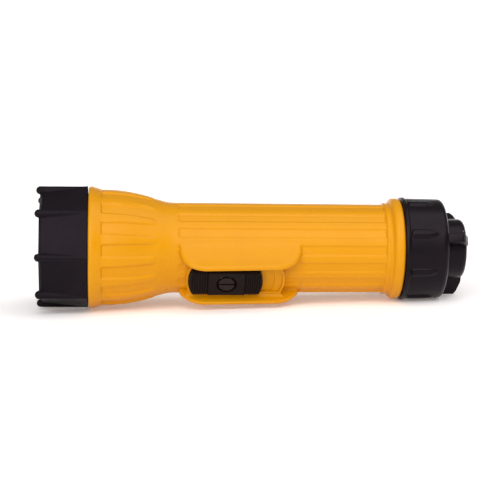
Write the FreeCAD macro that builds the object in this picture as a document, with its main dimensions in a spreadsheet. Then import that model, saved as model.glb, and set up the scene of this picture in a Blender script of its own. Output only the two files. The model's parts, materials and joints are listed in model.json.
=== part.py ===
"""Firefighter flashlight: a two-cell safety light with an octagonal lens ring, a fluted barrel,
a guarded slide switch with a signal button, and a screw-on tail cap that holds a hang ring.

Every piece is built along +X from the front tips (station 0) with the switch facing +Z.
PLACE then moves station 0 to -X and rolls the light the way it lies on a table:
it rests on the lens ring, the lower guard and the tail cap. Millimetres and degrees."""

import FreeCAD
import Part
import Sketcher
import math
import os
from FreeCAD import Placement, Rotation, Vector

doc = FreeCAD.newDocument("flashlight")
sheet = doc.addObject("Spreadsheet::Sheet", "Sizes")
X_AXIS = Vector(1, 0, 0)
Y_AXIS = Vector(0, 1, 0)
Z_AXIS = Vector(0, 0, 1)
ORIGIN = Vector(0, 0, 0)


class Size:
    """A length, angle or count: its number, and the same thing written over the sheet's cells."""

    def __init__(self, number, text):
        self.number = number
        self.text = text

    def __add__(self, other):
        return combine(self, other, "+", self.number + number(other))

    def __sub__(self, other):
        return combine(self, other, "-", self.number - number(other))

    def __mul__(self, other):
        return combine(self, other, "*", self.number * number(other))

    def __truediv__(self, other):
        return combine(self, other, "/", self.number / number(other))


def number(value):
    """The plain number of a Size or of a number."""
    return value.number if isinstance(value, Size) else value


def combine(left, right, sign, result):
    right_text = right.text if isinstance(right, Size) else repr(right)
    return Size(result, "({} {} {})".format(left.text, sign, right_text))


rows = 0


def size(alias, value):
    """Writes one driving dimension to the sheet and returns it as a Size."""
    global rows
    rows += 1
    sheet.set("A{}".format(rows), alias)
    sheet.set("B{}".format(rows), str(value))
    sheet.setAlias("B{}".format(rows), alias)
    return Size(value, "Sizes." + alias)


# ---------------------------------------------------------------- driving dimensions
# clearances
RUNNING = size("running_fit", 0.05)        # radial, between a shaft and its hole
SLIP = size("slip_gap", 0.3)               # between curved faces of pieces that move apart
SEAM = size("seam_gap", 0.4)               # between the barrel's flanges and what screws on
FLAT = size("flat_gap", 0.05)              # between flat faces that slide on each other

# cells
CELL_RADIUS = size("cell_radius", 17.1)
CELL_LENGTH = size("cell_length", 61.5)
CELL_NUB_RADIUS = size("cell_nub_radius", 4.75)
CELL_NUB_RISE = size("cell_nub_rise", 1.5)
CELL_PLAY = size("cell_play", 0.5)
BORE_RADIUS = CELL_RADIUS + CELL_PLAY

# lens ring and the barrel's neck inside it
NECK_STEP = size("neck_step", 6.52)        # the neck's outside over the bore
NECK_WALL = size("neck_wall", 2.2)
NECK_RADIUS = BORE_RADIUS + NECK_STEP
BUMP_RISE = size("bump_rise", 2.4)
RING_LENGTH = size("ring_length", 22.4)
RING_CHAMFER = size("ring_chamfer", 1.1)
RING_FRONT_STEP = size("ring_front_step", 3.08)
RING_FLARE = size("ring_flare", 2.0)
RING_CORNERS = size("ring_corners", 8)
RING_PHASE = size("ring_phase", 15.5)
RING_LIP = size("ring_lip", 4.0)
RIB_RADIUS = size("rib_radius", 2.25)
RIB_RISE_FRONT = size("rib_rise_front", 1.8)
RIB_RISE_REAR = size("rib_rise_rear", 0.2)
APERTURE_STEP = size("aperture_step", 1.82)
RING_FRONT_RADIUS = NECK_RADIUS + RING_FRONT_STEP
RING_REAR_RADIUS = RING_FRONT_RADIUS + RING_FLARE
RIB_CREST_FRONT = RING_FRONT_RADIUS + RIB_RISE_FRONT
RIB_CREST_REAR = RING_REAR_RADIUS + RIB_RISE_REAR
APERTURE_RADIUS = NECK_RADIUS - APERTURE_STEP

# lens and lamp
GASKET_THICKNESS = size("gasket_thickness", 0.8)
LENS_THICKNESS = size("lens_thickness", 2.5)
SHELL = size("reflector_shell", 1.2)
REFLECTOR_FLANGE = size("reflector_flange", 1.2)
REFLECTOR_DEPTH = size("reflector_depth", 22.0)
REFLECTOR_COLLAR = size("reflector_collar", 5.0)
BULB_NECK = size("bulb_neck", 5.2)
BULB_RADIUS = size("bulb_radius", 4.4)
BULB_LENGTH = size("bulb_length", 10.0)
BULB_FLANGE = size("bulb_flange", 1.0)
BULB_BASE_RADIUS = size("bulb_base_radius", 4.6)
BULB_BASE_LENGTH = size("bulb_base_length", 6.0)
HOLDER_RADIUS = size("holder_radius", 13.0)
HOLDER_FLOOR = size("holder_floor", 2.0)
CONTACT_THICKNESS = size("contact_thickness", 0.6)
CONTACT_RADIUS = BORE_RADIUS - size("contact_play", 2.1)
LAMP_ROOM = size("lamp_room", 8.6)         # from the bulb's foot to the front cell
THROAT_LENGTH = size("throat_length", 7.5)

# barrel
FLANGE_CREST_RISE = size("flange_crest_rise", 0.5)
FLANGE_LENGTH = size("flange_length", 5.9)
FLANGE_RADIUS = RING_REAR_RADIUS - size("flange_setback", 0.8)
FLANGE_CREST = FLANGE_RADIUS + FLANGE_CREST_RISE
BELL_RADIUS = FLANGE_CREST - size("bell_setback", 1.5)
BELL_LENGTH = size("bell_length", 36.1)
GRIP_WALL = size("grip_wall", 3.8)
GRIP_RADIUS = BORE_RADIUS + GRIP_WALL
GRIP_TAPER = size("grip_taper", 0.4)
FLUTES = size("flutes", 16)
FLUTE_PHASE = size("flute_phase", -2.5)
FLUTE_DEPTH = size("flute_depth", 0.45)
CREST_WIDTH = size("crest_width", 4.3)
LOBE_WIDTH = size("lobe_width", 5.7)
LOBE_TIP = size("lobe_tip", 3.8)
LOBE_LENGTH = size("lobe_length", 25.5)
REAR_FLANGE_LENGTH = size("rear_flange_length", 8.2)
REAR_FLANGE_RADIUS = GRIP_RADIUS + size("rear_flange_rise", 2.55)
TAIL_TUBE_WALL = size("tail_tube_wall", 3.7)
TAIL_TUBE_RADIUS = BORE_RADIUS + TAIL_TUBE_WALL
TAIL_TUBE_LENGTH = size("tail_tube_length", 11.0)
SEAL_WIRE = size("seal_wire", 0.6)
SEAL_SETBACK = size("seal_setback", 4.0)

# switch: heights are above the light's axis, along the switch's normal
SLIDER_LENGTH = size("slider_length", 35.1)
SLIDER_WIDTH = size("slider_width", 13.4)
SLIDER_BOW = size("slider_bow", 1.5)
SLIDER_TRAVEL = size("slider_travel", 8.5)
SLIDER_PLAY = size("slider_play", 0.4)
SLIDER_RISE = size("slider_rise", 4.3)
STEM_LENGTH = size("stem_length", 10.0)
STEM_WIDTH = size("stem_width", 6.8)
BAY_MARGIN = size("bay_margin", 5.6)
BAY_DEPTH = size("bay_depth", 2.8)
BAY_ROOF = size("bay_roof", 2.0)
DECK_RISE = size("deck_rise", 1.0)
BUTTON_RADIUS = size("button_radius", 3.8)
BUTTON_GAP = size("button_gap", 0.75)
BUTTON_STEM = size("button_stem", 1.5)
STRIP_WIDTH = size("strip_width", 4.0)
STRIP_THICKNESS = size("strip_thickness", 0.5)
BAY_WIDTH = STEM_WIDTH + BAY_MARGIN
BAY_HEIGHT = BORE_RADIUS + BAY_DEPTH
POCKET_HEIGHT = BAY_HEIGHT + BAY_ROOF
DECK_HEIGHT = POCKET_HEIGHT + DECK_RISE
SLIDER_TOP = POCKET_HEIGHT + SLIDER_RISE
BUTTON_WELL = BUTTON_RADIUS + BUTTON_GAP

# switch guards
GUARD_SETBACK = size("guard_setback", 0.2)
GUARD_FRONT_MARGIN = size("guard_front_margin", 4.3)
GUARD_REAR_MARGIN = size("guard_rear_margin", 9.0)
GUARD_RISE = size("guard_rise", 2.0)
GUARD_SLOPE = size("guard_slope", 0.9)
GUARD_CORNER = size("guard_corner", 12.3)
GUARD_GAP = size("guard_gap", 2.8)
GUARD_THICKNESS = size("guard_thickness", 2.2)
GUARD_SPREAD = size("guard_spread", 3.9)
GUARD_FILLET = size("guard_fillet", 1.5)
POCKET_LIP = size("pocket_lip", 0.9)
GUARD_HEIGHT = SLIDER_TOP + GUARD_RISE
GUARD_INSIDE = SLIDER_WIDTH / 2 + GUARD_GAP
GUARD_OUTSIDE = GUARD_INSIDE + GUARD_THICKNESS
GUARD_ROOT = GUARD_OUTSIDE + GUARD_SPREAD
GUARD_LENGTH = GUARD_FRONT_MARGIN + SLIDER_LENGTH + SLIDER_TRAVEL + GUARD_REAR_MARGIN

# hang ring, folded into the boss
RING_EYE_RADIUS = size("ring_eye_radius", 6.6)
RING_RIM = size("ring_rim", 2.3)
RING_THICKNESS = size("ring_thickness", 2.0)
RING_ROOM = size("ring_room", 2.5)
PIN_RADIUS = size("pin_radius", 0.8)
PIN_SETBACK = size("pin_setback", 2.4)
RECESS_DEPTH = size("recess_depth", 3.6)
RECESS_RADIUS = RING_EYE_RADIUS + RING_RIM + RING_ROOM
PIN_HEIGHT = RECESS_RADIUS - PIN_SETBACK

# tail cap
CAP_RADIUS = GRIP_RADIUS + size("cap_rise", 2.6)
CAP_LIP_RADIUS = CAP_RADIUS + size("cap_lip_rise", 0.5)
CAP_LIP_LENGTH = size("cap_lip_length", 3.6)
CAP_LENGTH = size("cap_length", 20.6)
CAP_ROUNDING = size("cap_rounding", 2.8)
CAP_WALL = size("cap_wall", 3.0)
CAP_RIBS = size("cap_ribs", 8)
CAP_RIB_PHASE = size("cap_rib_phase", 33.0)
CAP_RIB_WIDTH = size("cap_rib_width", 4.1)
CAP_RIB_HEIGHT = size("cap_rib_height", 0.8)
CAP_RIB_LENGTH = size("cap_rib_length", 12.6)
BOSS_WALL = size("boss_wall", 2.8)
BOSS_RADIUS = RECESS_RADIUS + BOSS_WALL
BOSS_LENGTH = size("boss_length", 10.1)
BOSS_ROUNDING = size("boss_rounding", 2.6)
LUGS = size("lugs", 3)
LUG_PHASE = size("lug_phase", 66.5)
LUG_WIDTH = size("lug_width", 4.3)
LUG_REACH = CAP_RADIUS - size("lug_setin", 1.6)
LUG_SETBACK = size("lug_setback", 2.1)
SPRING_ROOM = size("spring_room", 14.3)    # from the rear cell to the cap's floor

# how the light lies: the switch's normal is rolled this far about X from straight up
ROLL = size("roll", 123.0)

doc.recompute()

# ---------------------------------------------------------------- stations along the axis
ring_front = BUMP_RISE
ring_rear = ring_front + RING_LENGTH
gasket_front = ring_front + RING_LIP
lens_front = gasket_front + GASKET_THICKNESS
lens_rear = lens_front + LENS_THICKNESS
neck_front = lens_rear + REFLECTOR_FLANGE
reflector_rear = neck_front + REFLECTOR_DEPTH
bulb_flange = reflector_rear + REFLECTOR_COLLAR
bulb_seat = bulb_flange + BULB_FLANGE
bulb_foot = bulb_seat + BULB_BASE_LENGTH
holder_rear = bulb_foot + HOLDER_FLOOR
cell_front = bulb_foot + LAMP_ROOM
contact_front = cell_front - CONTACT_THICKNESS
throat_front = cell_front - THROAT_LENGTH
cell_middle = cell_front + CELL_LENGTH
cell_rear = cell_middle + CELL_LENGTH
flange_front = ring_rear + SEAM
flange_rear = flange_front + FLANGE_LENGTH
bell_rear = flange_rear + BELL_LENGTH
cap_floor = cell_rear + SPRING_ROOM
cap_rear = cap_floor + CAP_WALL
cap_front = cap_rear - CAP_LENGTH
tube_front = cap_front - SEAM
tube_rear = tube_front + TAIL_TUBE_LENGTH
grip_rear = tube_front - REAR_FLANGE_LENGTH
boss_rear = cap_rear + BOSS_LENGTH
guard_front = bell_rear + GUARD_SETBACK
guard_rear = guard_front + GUARD_LENGTH
slider_front = guard_front + GUARD_FRONT_MARGIN
slider_middle = slider_front + SLIDER_LENGTH / 2

PLACE = Placement(Vector(-boss_rear.number / 2, 0, 0), Rotation(X_AXIS, ROLL.number))
pieces = []


# ---------------------------------------------------------------- helpers
def keep(piece):
    """Puts a finished sub-part in its place and on the list of pieces that are written."""
    piece.Placement = PLACE.multiply(piece.Placement)
    pieces.append(piece)
    return piece


def bind(piece, **lengths):
    """Ties properties of an object to the sheet."""
    for name, length in lengths.items():
        piece.setExpression(name, length.text)


def turned(label, outline):
    """A PartDesign body: the closed outline of (station, radius) corners turned about X."""
    body = doc.addObject("PartDesign::Body", label)
    sketch = body.newObject("Sketcher::SketchObject", label + "_outline")
    for plane in body.Origin.OriginFeatures:
        if plane.Role == "XY_Plane":
            sketch.AttachmentSupport = [(plane, "")]
    sketch.MapMode = "FlatFace"
    corners = [Vector(number(station), number(radius), 0) for station, radius in outline]
    count = len(corners)
    for index in range(count):
        sketch.addGeometry(Part.LineSegment(corners[index], corners[(index + 1) % count]))
    for index in range(count):
        sketch.addConstraint(Sketcher.Constraint("Coincident", index, 2, (index + 1) % count, 1))
    for index, (station, radius) in enumerate(outline):
        for kind, value in (("DistanceX", station), ("DistanceY", radius)):
            row = sketch.addConstraint(Sketcher.Constraint(kind, index, 1, number(value)))
            if isinstance(value, Size):
                sketch.setExpression("Constraints[{}]".format(row), value.text)
    revolution = body.newObject("PartDesign::Revolution", label + "_turned")
    revolution.Profile = sketch
    revolution.ReferenceAxis = (sketch, ["H_Axis"])
    revolution.Angle = 360.0
    body.Tip = revolution
    return body


def cylinder(name, radius, length, station):
    """A Part::Cylinder along X, starting at a station."""
    piece = doc.addObject("Part::Cylinder", name)
    bind(piece, Radius=radius, Height=length)
    piece.Placement = Placement(Vector(number(station), 0, 0), Rotation(Y_AXIS, 90))
    return piece


def upright(name, radius, length, station, height):
    """A Part::Cylinder along +Z whose foot is at a station and a height."""
    piece = doc.addObject("Part::Cylinder", name)
    bind(piece, Radius=radius, Height=length)
    piece.Placement = Placement(Vector(number(station), 0, number(height)), Rotation())
    return piece


def block(name, station, length, width, height, thickness):
    """A Part::Box centred across Y, from a station and a height."""
    piece = doc.addObject("Part::Box", name)
    bind(piece, Length=length, Width=width, Height=thickness)
    piece.Placement = Placement(Vector(number(station), -number(width) / 2, number(height)), Rotation())
    return piece


def cut(name, base, tool):
    piece = doc.addObject("Part::Cut", name)
    piece.Base = base
    piece.Tool = tool
    return piece


def free_shape(label, shape):
    """A Part::Feature for a shape that the features above can't make."""
    piece = doc.addObject("Part::Feature", label)
    piece.Shape = shape
    return keep(piece)


def revolve(edges):
    """Turns a closed chain of edges in the XY plane about X, as a plain shape."""
    face = Part.Face(Part.Wire(edges))
    return face.revolve(ORIGIN, X_AXIS, 360)


def chain(*stops):
    """Edges through stops: a (station, radius) is a corner; three in a list are the arc's middle and end."""
    edges = []
    last = None
    for stop in stops:
        if isinstance(stop, list):
            middle, end = [Vector(number(a), number(b), 0) for a, b in stop]
            edges.append(Part.Arc(last, middle, end).toShape())
            last = end
        else:
            corner = Vector(number(stop[0]), number(stop[1]), 0)
            if last is not None and last.distanceToPoint(corner) > 1e-6:
                edges.append(Part.LineSegment(last, corner).toShape())
            last = corner
    return edges


def around(shape, count, phase):
    """Copies of a shape, evenly round the X axis; the phase turns from +Z towards -Y."""
    copies = []
    for index in range(int(number(count))):
        copy = shape.copy()
        copy.rotate(ORIGIN, X_AXIS, number(phase) + 360.0 * index / number(count))
        copies.append(copy)
    return copies


def finger(front, rear, width, tip, low, high):
    """A radial prism shaped like a finger: square at the front, round at its rear end."""
    half = number(width) / 2
    end = number(tip) / 2
    start = number(front)
    stop = number(rear)
    points = [Vector(start, -half, low), Vector(stop - end, -end, low), Vector(stop, 0, low),
              Vector(stop - end, end, low), Vector(start, half, low)]
    edges = [Part.LineSegment(points[0], points[1]).toShape(),
             Part.Arc(points[1], points[2], points[3]).toShape(),
             Part.LineSegment(points[3], points[4]).toShape(),
             Part.LineSegment(points[4], points[0]).toShape()]
    return Part.Face(Part.Wire(edges)).extrude(Vector(0, 0, high - low))


def bowed_block(front, length, width, bow, low, high):
    """A block whose two ends bow outwards, from one height to another."""
    start = number(front)
    stop = start + number(length)
    half = number(width) / 2
    out = number(bow)
    corners = [Vector(start + out, -half, low), Vector(stop - out, -half, low),
               Vector(stop - out, half, low), Vector(start + out, half, low)]
    edges = [Part.LineSegment(corners[0], corners[1]).toShape(),
             Part.Arc(corners[1], Vector(stop, 0, low), corners[2]).toShape(),
             Part.LineSegment(corners[2], corners[3]).toShape(),
             Part.Arc(corners[3], Vector(start, 0, low), corners[0]).toShape()]
    return Part.Face(Part.Wire(edges)).extrude(Vector(0, 0, high - low))


def box_shape(station, length, width, low, high):
    """A plain box shape, centred across Y."""
    return Part.makeBox(number(length), number(width), high - low,
                        Vector(number(station), -number(width) / 2, low))


def coil(front, rear, first_radius, last_radius, wire, turns):
    """A helical spring along X between two stations; its wire is ten-sided, each end inside its station."""
    start = number(front) + wire / 2
    length = number(rear) - number(front) - wire
    pitch = length / turns
    cone = math.degrees(math.atan2(last_radius - first_radius, length))
    helix = Part.makeHelix(pitch, length, first_radius, cone)
    steps = [math.radians(36 * index) for index in range(11)]
    section = Part.makePolygon([Vector(first_radius + wire / 2 * math.cos(step), 0, wire / 2 * math.sin(step))
                                for step in steps])
    spring = Part.Wire(helix.Edges).makePipeShell([section], True, True)
    spring.rotate(ORIGIN, Y_AXIS, 90)
    spring.translate(Vector(start, 0, 0))
    return spring


# ---------------------------------------------------------------- head: ring, gasket, lens
def octagon(station, radius):
    """A closed wire with one corner at each rib of the lens ring."""
    corners = []
    for index in range(int(RING_CORNERS.number) + 1):
        angle = math.radians(RING_PHASE.number + 360.0 * index / RING_CORNERS.number)
        corners.append(Vector(number(station), -number(radius) * math.sin(angle), number(radius) * math.cos(angle)))
    return Part.makePolygon(corners)


def build_lens_ring():
    chamfer = RING_CHAMFER.number
    body = Part.makeLoft([octagon(ring_front, RING_FRONT_RADIUS - RING_CHAMFER),
                          octagon(ring_front + RING_CHAMFER, RING_FRONT_RADIUS + chamfer * 0.05),
                          octagon(ring_rear, RING_REAR_RADIUS)], True, True)
    low = RIB_CREST_FRONT.number - RIB_RADIUS.number
    rise = RIB_CREST_REAR.number - RIB_CREST_FRONT.number
    foot = Vector(RIB_RADIUS.number, 0, low)
    along = Vector(ring_rear.number - RIB_RADIUS.number, 0, rise)
    bar = Part.makeCylinder(RIB_RADIUS.number, along.Length + 1, foot, along)
    rib = bar.fuse(Part.makeSphere(RIB_RADIUS.number, foot))
    ribs = around(rib, RING_CORNERS, RING_PHASE)
    ring = body.fuse(ribs).common(Part.makeCylinder(RIB_CREST_REAR.number + 5, ring_rear.number, ORIGIN, X_AXIS))
    bore = revolve(chain((0, 0), (0, APERTURE_RADIUS + 1.1), (ring_front, APERTURE_RADIUS + 1.1),
                         (ring_front + RING_LIP / 2, APERTURE_RADIUS), (gasket_front, APERTURE_RADIUS),
                         (gasket_front, NECK_RADIUS + RUNNING), (ring_rear + 1, NECK_RADIUS + RUNNING),
                         (ring_rear + 1, 0), (0, 0)))
    return free_shape("lens_ring", ring.cut(bore).removeSplitter())


build_lens_ring()
LENS_RADIUS = NECK_RADIUS + RUNNING - SLIP
keep(turned("lens_gasket", [(gasket_front, APERTURE_RADIUS), (lens_front, APERTURE_RADIUS),
                            (lens_front, LENS_RADIUS), (gasket_front, LENS_RADIUS)]))
keep(turned("lens", [(lens_front, 0), (lens_front, LENS_RADIUS), (lens_rear, LENS_RADIUS), (lens_rear, 0)]))

# ---------------------------------------------------------------- lamp: reflector, bulb, holder
reflector_mouth = NECK_RADIUS - NECK_WALL - SLIP - SHELL


def build_reflector():
    """A parabolic bowl with a flange that rests on the end of the barrel's neck."""
    mouth = reflector_mouth.number
    neck = BULB_NECK.number
    middle = (mouth + neck) / 2
    share = (middle ** 2 - neck ** 2) / (mouth ** 2 - neck ** 2)
    bend = reflector_rear.number - share * REFLECTOR_DEPTH.number
    shell = SHELL.number
    edges = chain((lens_rear, mouth), (lens_rear, LENS_RADIUS), (neck_front, LENS_RADIUS),
                  (neck_front, mouth + shell),
                  [(bend + shell * 0.8, middle + shell * 0.8), (reflector_rear + shell, neck + shell)],
                  (bulb_flange, neck + shell), (bulb_flange, neck), (reflector_rear, neck),
                  [(bend, middle), (neck_front, mouth)], (lens_rear, mouth))
    return free_shape("reflector", revolve(edges))


build_reflector()
keep(turned("bulb_base", [(bulb_flange, 0), (bulb_flange, BULB_NECK + SHELL), (bulb_seat, BULB_NECK + SHELL),
                          (bulb_seat, BULB_BASE_RADIUS), (bulb_foot, BULB_BASE_RADIUS),
                          (bulb_foot, 1.5), (bulb_foot + 1, 1.5), (bulb_foot + 1, 0)]))
bulb_tip = bulb_flange - BULB_LENGTH
free_shape("bulb_glass", revolve(chain((bulb_tip, 0), [(bulb_tip + BULB_RADIUS * 0.3, BULB_RADIUS * 0.72),
                                                         (bulb_tip + BULB_RADIUS, BULB_RADIUS)],
                                       (bulb_flange, BULB_RADIUS), (bulb_flange, 0), (bulb_tip, 0))))
keep(turned("bulb_holder", [(bulb_seat, BULB_BASE_RADIUS + 0.1), (bulb_seat, HOLDER_RADIUS),
                            (holder_rear, HOLDER_RADIUS), (holder_rear, 7), (bulb_foot, 7),
                            (bulb_foot, BULB_BASE_RADIUS + 0.1)]))
free_shape("shock_spring", coil(holder_rear, contact_front, 10.0, 10.0, 1.2, 3))
keep(turned("front_contact", [(bulb_foot + 1, 0), (bulb_foot + 1, 2.5), (contact_front, 2.5),
                              (contact_front, CONTACT_RADIUS), (cell_front, CONTACT_RADIUS), (cell_front, 0)]))


# ---------------------------------------------------------------- cells
def build_cell(name, front):
    """A D cell: the can, and the raised positive terminal towards the lamp."""
    can_front = front + CELL_NUB_RISE
    rear = front + CELL_LENGTH
    keep(turned(name, [(can_front, 0), (can_front, CELL_RADIUS - 1), (can_front + 1, CELL_RADIUS),
                       (rear - 1, CELL_RADIUS), (rear, CELL_RADIUS - 1), (rear, 0)]))
    keep(cylinder(name + "_terminal", CELL_NUB_RADIUS, CELL_NUB_RISE, front))


build_cell("front_cell", cell_front)
build_cell("rear_cell", cell_middle)

# ---------------------------------------------------------------- barrel
head_seal = flange_front - SEAL_SETBACK
tail_seal = tube_front + SEAL_SETBACK
HEAD_SEAL_RADIUS = NECK_RADIUS + RUNNING - SLIP
TAIL_SEAL_RADIUS = TAIL_TUBE_RADIUS + RUNNING - SLIP


def barrel_profile(sink, tip):
    """The barrel's outside from the neck to the tail tube; sink lowers the bell and the grip."""
    drop = number(sink)
    shoulder = flange_rear.number + 26.4
    bell_mid = flange_rear.number + 12.5
    end = bell_rear.number
    grip = GRIP_RADIUS.number
    tail = grip - GRIP_TAPER.number
    stop = grip_rear.number
    flange = REAR_FLANGE_RADIUS.number
    tube = tube_front.number
    return chain((neck_front, 0), (neck_front, NECK_RADIUS), (flange_front, NECK_RADIUS),
                 (flange_front, FLANGE_RADIUS), (flange_front + 1.3, FLANGE_CREST),
                 (flange_rear, BELL_RADIUS), (flange_rear, BELL_RADIUS - drop),
                 [(bell_mid, BELL_RADIUS - drop - 0.85), (shoulder, grip + 1.65 - 0.15 * tip)],
                 [(shoulder + 3.0, grip + 0.65), (end - 1, grip - 0.03)],
                 (end, grip), (end, grip - drop), (stop, tail - drop), (stop, tail + 0.3),
                 [(stop + 0.7, tail + 0.75), (stop + 1.5, tail + 0.65)], (stop + 1.9, tail + 0.65),
                 [(stop + 2.7, tail + 0.95), (stop + 3.3, flange - 1.1)],
                 [(stop + 4.0, flange - 0.3), (stop + 5.1, flange)],
                 (tube - 1.7, flange), [(tube - 0.5, flange - 0.25), (tube, flange - 0.9)],
                 (tube, TAIL_TUBE_RADIUS), (tube_rear - 0.8, TAIL_TUBE_RADIUS),
                 (tube_rear, TAIL_TUBE_RADIUS - 0.8), (tube_rear, 0), (neck_front, 0))


def build_guards():
    """Two fins beside the switch, joined by the deck: the cross-section met with the side outline."""
    top = GUARD_HEIGHT.number
    out = GUARD_OUTSIDE.number
    root = GUARD_ROOT.number
    inside = GUARD_INSIDE.number
    deck = DECK_HEIGHT.number
    low = 10.0
    foot = math.sqrt((GRIP_RADIUS.number - FLUTE_DEPTH.number) ** 2 - root ** 2)
    soft = GUARD_FILLET.number
    turn = soft * (1 - math.sqrt(0.5))

    def corner(y, z):
        return Vector(0, y, z)

    half = [(out + 0.15, top - 1.0), (out - 0.2, top - 0.25), (out - 1.0, top)]
    inner = [(inside + 1.0, top), (inside + 0.25, top - 0.25), (inside, top - 1.0)]
    edges = []
    for side in (1, -1):
        profile = [corner(side * y, z) for y, z in [(root, foot)] + half + inner]
        knee = corner(side * (out + 1.1), (foot + top) / 2 - 1.0)
        edges.append([Part.Arc(profile[0], knee, profile[1]).toShape(),
                      Part.Arc(profile[1], profile[2], profile[3]).toShape(),
                      Part.LineSegment(profile[3], profile[4]).toShape(),
                      Part.Arc(profile[4], profile[5], profile[6]).toShape(),
                      Part.LineSegment(profile[6], corner(side * inside, deck + soft)).toShape(),
                      Part.Arc(corner(side * inside, deck + soft), corner(side * (inside - turn), deck + turn),
                               corner(side * (inside - soft), deck)).toShape()])
    bottom = [Part.LineSegment(corner(root, foot), corner(root, low)).toShape(),
              Part.LineSegment(corner(root, low), corner(-root, low)).toShape(),
              Part.LineSegment(corner(-root, low), corner(-root, foot)).toShape()]
    bridge = Part.LineSegment(corner(inside - soft, deck), corner(soft - inside, deck)).toShape()
    section = Part.Face(Part.Wire(Part.sortEdges(edges[0] + edges[1] + bottom + [bridge])[0]))
    section.translate(Vector(guard_front.number - 5, 0, 0))
    bar = section.extrude(Vector(GUARD_LENGTH.number + 10, 0, 0))
    front = guard_front.number
    rear = guard_rear.number
    radius = GUARD_CORNER.number
    fall = GUARD_SLOPE.number
    bend = radius * (1 - math.sqrt(0.5))

    def side(x, z):
        return Vector(x, -root - 5, z)

    crown = top + 0.02
    outline = [Part.LineSegment(side(front, low), side(front, crown - radius)).toShape(),
               Part.Arc(side(front, crown - radius), side(front + bend, crown - bend),
                        side(front + radius, crown)).toShape(),
               Part.LineSegment(side(front + radius, crown), side(rear - radius, crown - fall)).toShape(),
               Part.Arc(side(rear - radius, crown - fall), side(rear - bend, crown - fall - bend),
                        side(rear, crown - fall - radius)).toShape(),
               Part.LineSegment(side(rear, crown - fall - radius), side(rear, low)).toShape(),
               Part.LineSegment(side(rear, low), side(front, low)).toShape()]
    plate = Part.Face(Part.Wire(outline)).extrude(Vector(0, 2 * root + 10, 0))
    margin = SLIDER_PLAY + POCKET_LIP
    deck_block = bowed_block(slider_front - margin, SLIDER_LENGTH + SLIDER_TRAVEL + margin * 2,
                             GUARD_INSIDE * 2 + 2, SLIDER_BOW * 1.5, 0, top + 5)
    channel = box_shape(guard_front - 6, GUARD_LENGTH + 12, GUARD_INSIDE * 2, 5, top + 5).cut(deck_block)
    return bar.common(plate).cut(channel)


def pocket(widening, low, high):
    """The switch pocket's outline: the slider's whole sweep with its play all round."""
    play = SLIDER_PLAY.number + widening
    return bowed_block(slider_front - play, SLIDER_LENGTH + SLIDER_TRAVEL + 2 * play, SLIDER_WIDTH + 2 * play,
                       SLIDER_BOW, low, high)


STRIP_BASE = BORE_RADIUS + SLIP
RIVETS = [(throat_front + 14.1).number, (guard_rear + 0.9).number, (tube_front - 8).number]


def build_barrel():
    land = revolve(barrel_profile(FLUTE_DEPTH, 1))
    crown = revolve(barrel_profile(0, 0))
    lobes = around(finger(flange_rear - 0.5, flange_rear + LOBE_LENGTH, LOBE_WIDTH, LOBE_TIP, 12, 40),
                   FLUTES, FLUTE_PHASE)
    crests = around(finger(bell_rear - 0.3, grip_rear, CREST_WIDTH, CREST_WIDTH, 12, 40), FLUTES, FLUTE_PHASE)
    raised = crown.common(Part.makeCompound(lobes + crests))
    guards = build_guards()
    barrel = land.fuse([raised, guards])
    lip = pocket(POCKET_LIP.number, 15, DECK_HEIGHT.number + 0.3)
    barrel = barrel.fuse(lip)
    neck_inside = NECK_RADIUS - NECK_WALL
    bore = revolve(chain((neck_front - 1, 0), (neck_front - 1, neck_inside), (throat_front - 1, neck_inside),
                         (cell_front, BORE_RADIUS), (tube_rear + 1, BORE_RADIUS), (tube_rear + 1, 0),
                         (neck_front - 1, 0)))
    wide = BAY_WIDTH.number
    slot = box_shape(slider_middle - STEM_LENGTH / 2 - SLIDER_PLAY,
                     STEM_LENGTH + SLIDER_TRAVEL + SLIDER_PLAY * 2, STEM_WIDTH + FLAT * 2, 10, 30)
    bay = box_shape(slider_front - 1.5, SLIDER_LENGTH + SLIDER_TRAVEL + 3, wide, 10, BAY_HEIGHT.number)
    groove = box_shape(throat_front, tube_rear - throat_front + 1, STRIP_WIDTH + 0.4, 10,
                       number(STRIP_BASE + STRIP_THICKNESS + FLAT * 2))
    seals = [ring_groove(head_seal, HEAD_SEAL_RADIUS), ring_groove(tail_seal, TAIL_SEAL_RADIUS)]
    holes = [Part.makeCylinder(0.9, 3, Vector(station, 0, STRIP_BASE.number), Z_AXIS) for station in RIVETS]
    tools = [bore, pocket(0, POCKET_HEIGHT.number, 40), slot, bay, groove] + seals + holes
    for tool in tools:
        barrel = barrel.cut(tool)
    return free_shape("barrel", barrel.removeSplitter())


def ring_groove(station, radius):
    """A square groove that an O-ring of the same station and outside radius just fills."""
    wire = SEAL_WIRE.number
    room = RUNNING.number
    foot = Vector(number(station) - wire - 4 * room, 0, 0)
    outer = Part.makeCylinder(number(radius) + 1, 2 * wire + 8 * room, foot, X_AXIS)
    inner = Part.makeCylinder(number(radius) - 2 * wire - room, 2 * wire + 8 * room, foot, X_AXIS)
    return outer.cut(inner)


build_barrel()


def build_seal(name, station, radius):
    """An O-ring lying in its groove, its outside just under the tube's."""
    seal = doc.addObject("Part::Torus", name)
    bind(seal, Radius1=radius - SEAL_WIRE, Radius2=SEAL_WIRE)
    seal.Placement = Placement(Vector(number(station), 0, 0), Rotation(Y_AXIS, 90))
    keep(seal)


build_seal("head_seal", head_seal, HEAD_SEAL_RADIUS)
build_seal("tail_seal", tail_seal, TAIL_SEAL_RADIUS)

# ---------------------------------------------------------------- contact strips along the bore
strip_front_end = slider_front + SLIDER_LENGTH / 2 + 0.7
strip_rear_start = slider_front + SLIDER_LENGTH + 3.2


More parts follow.
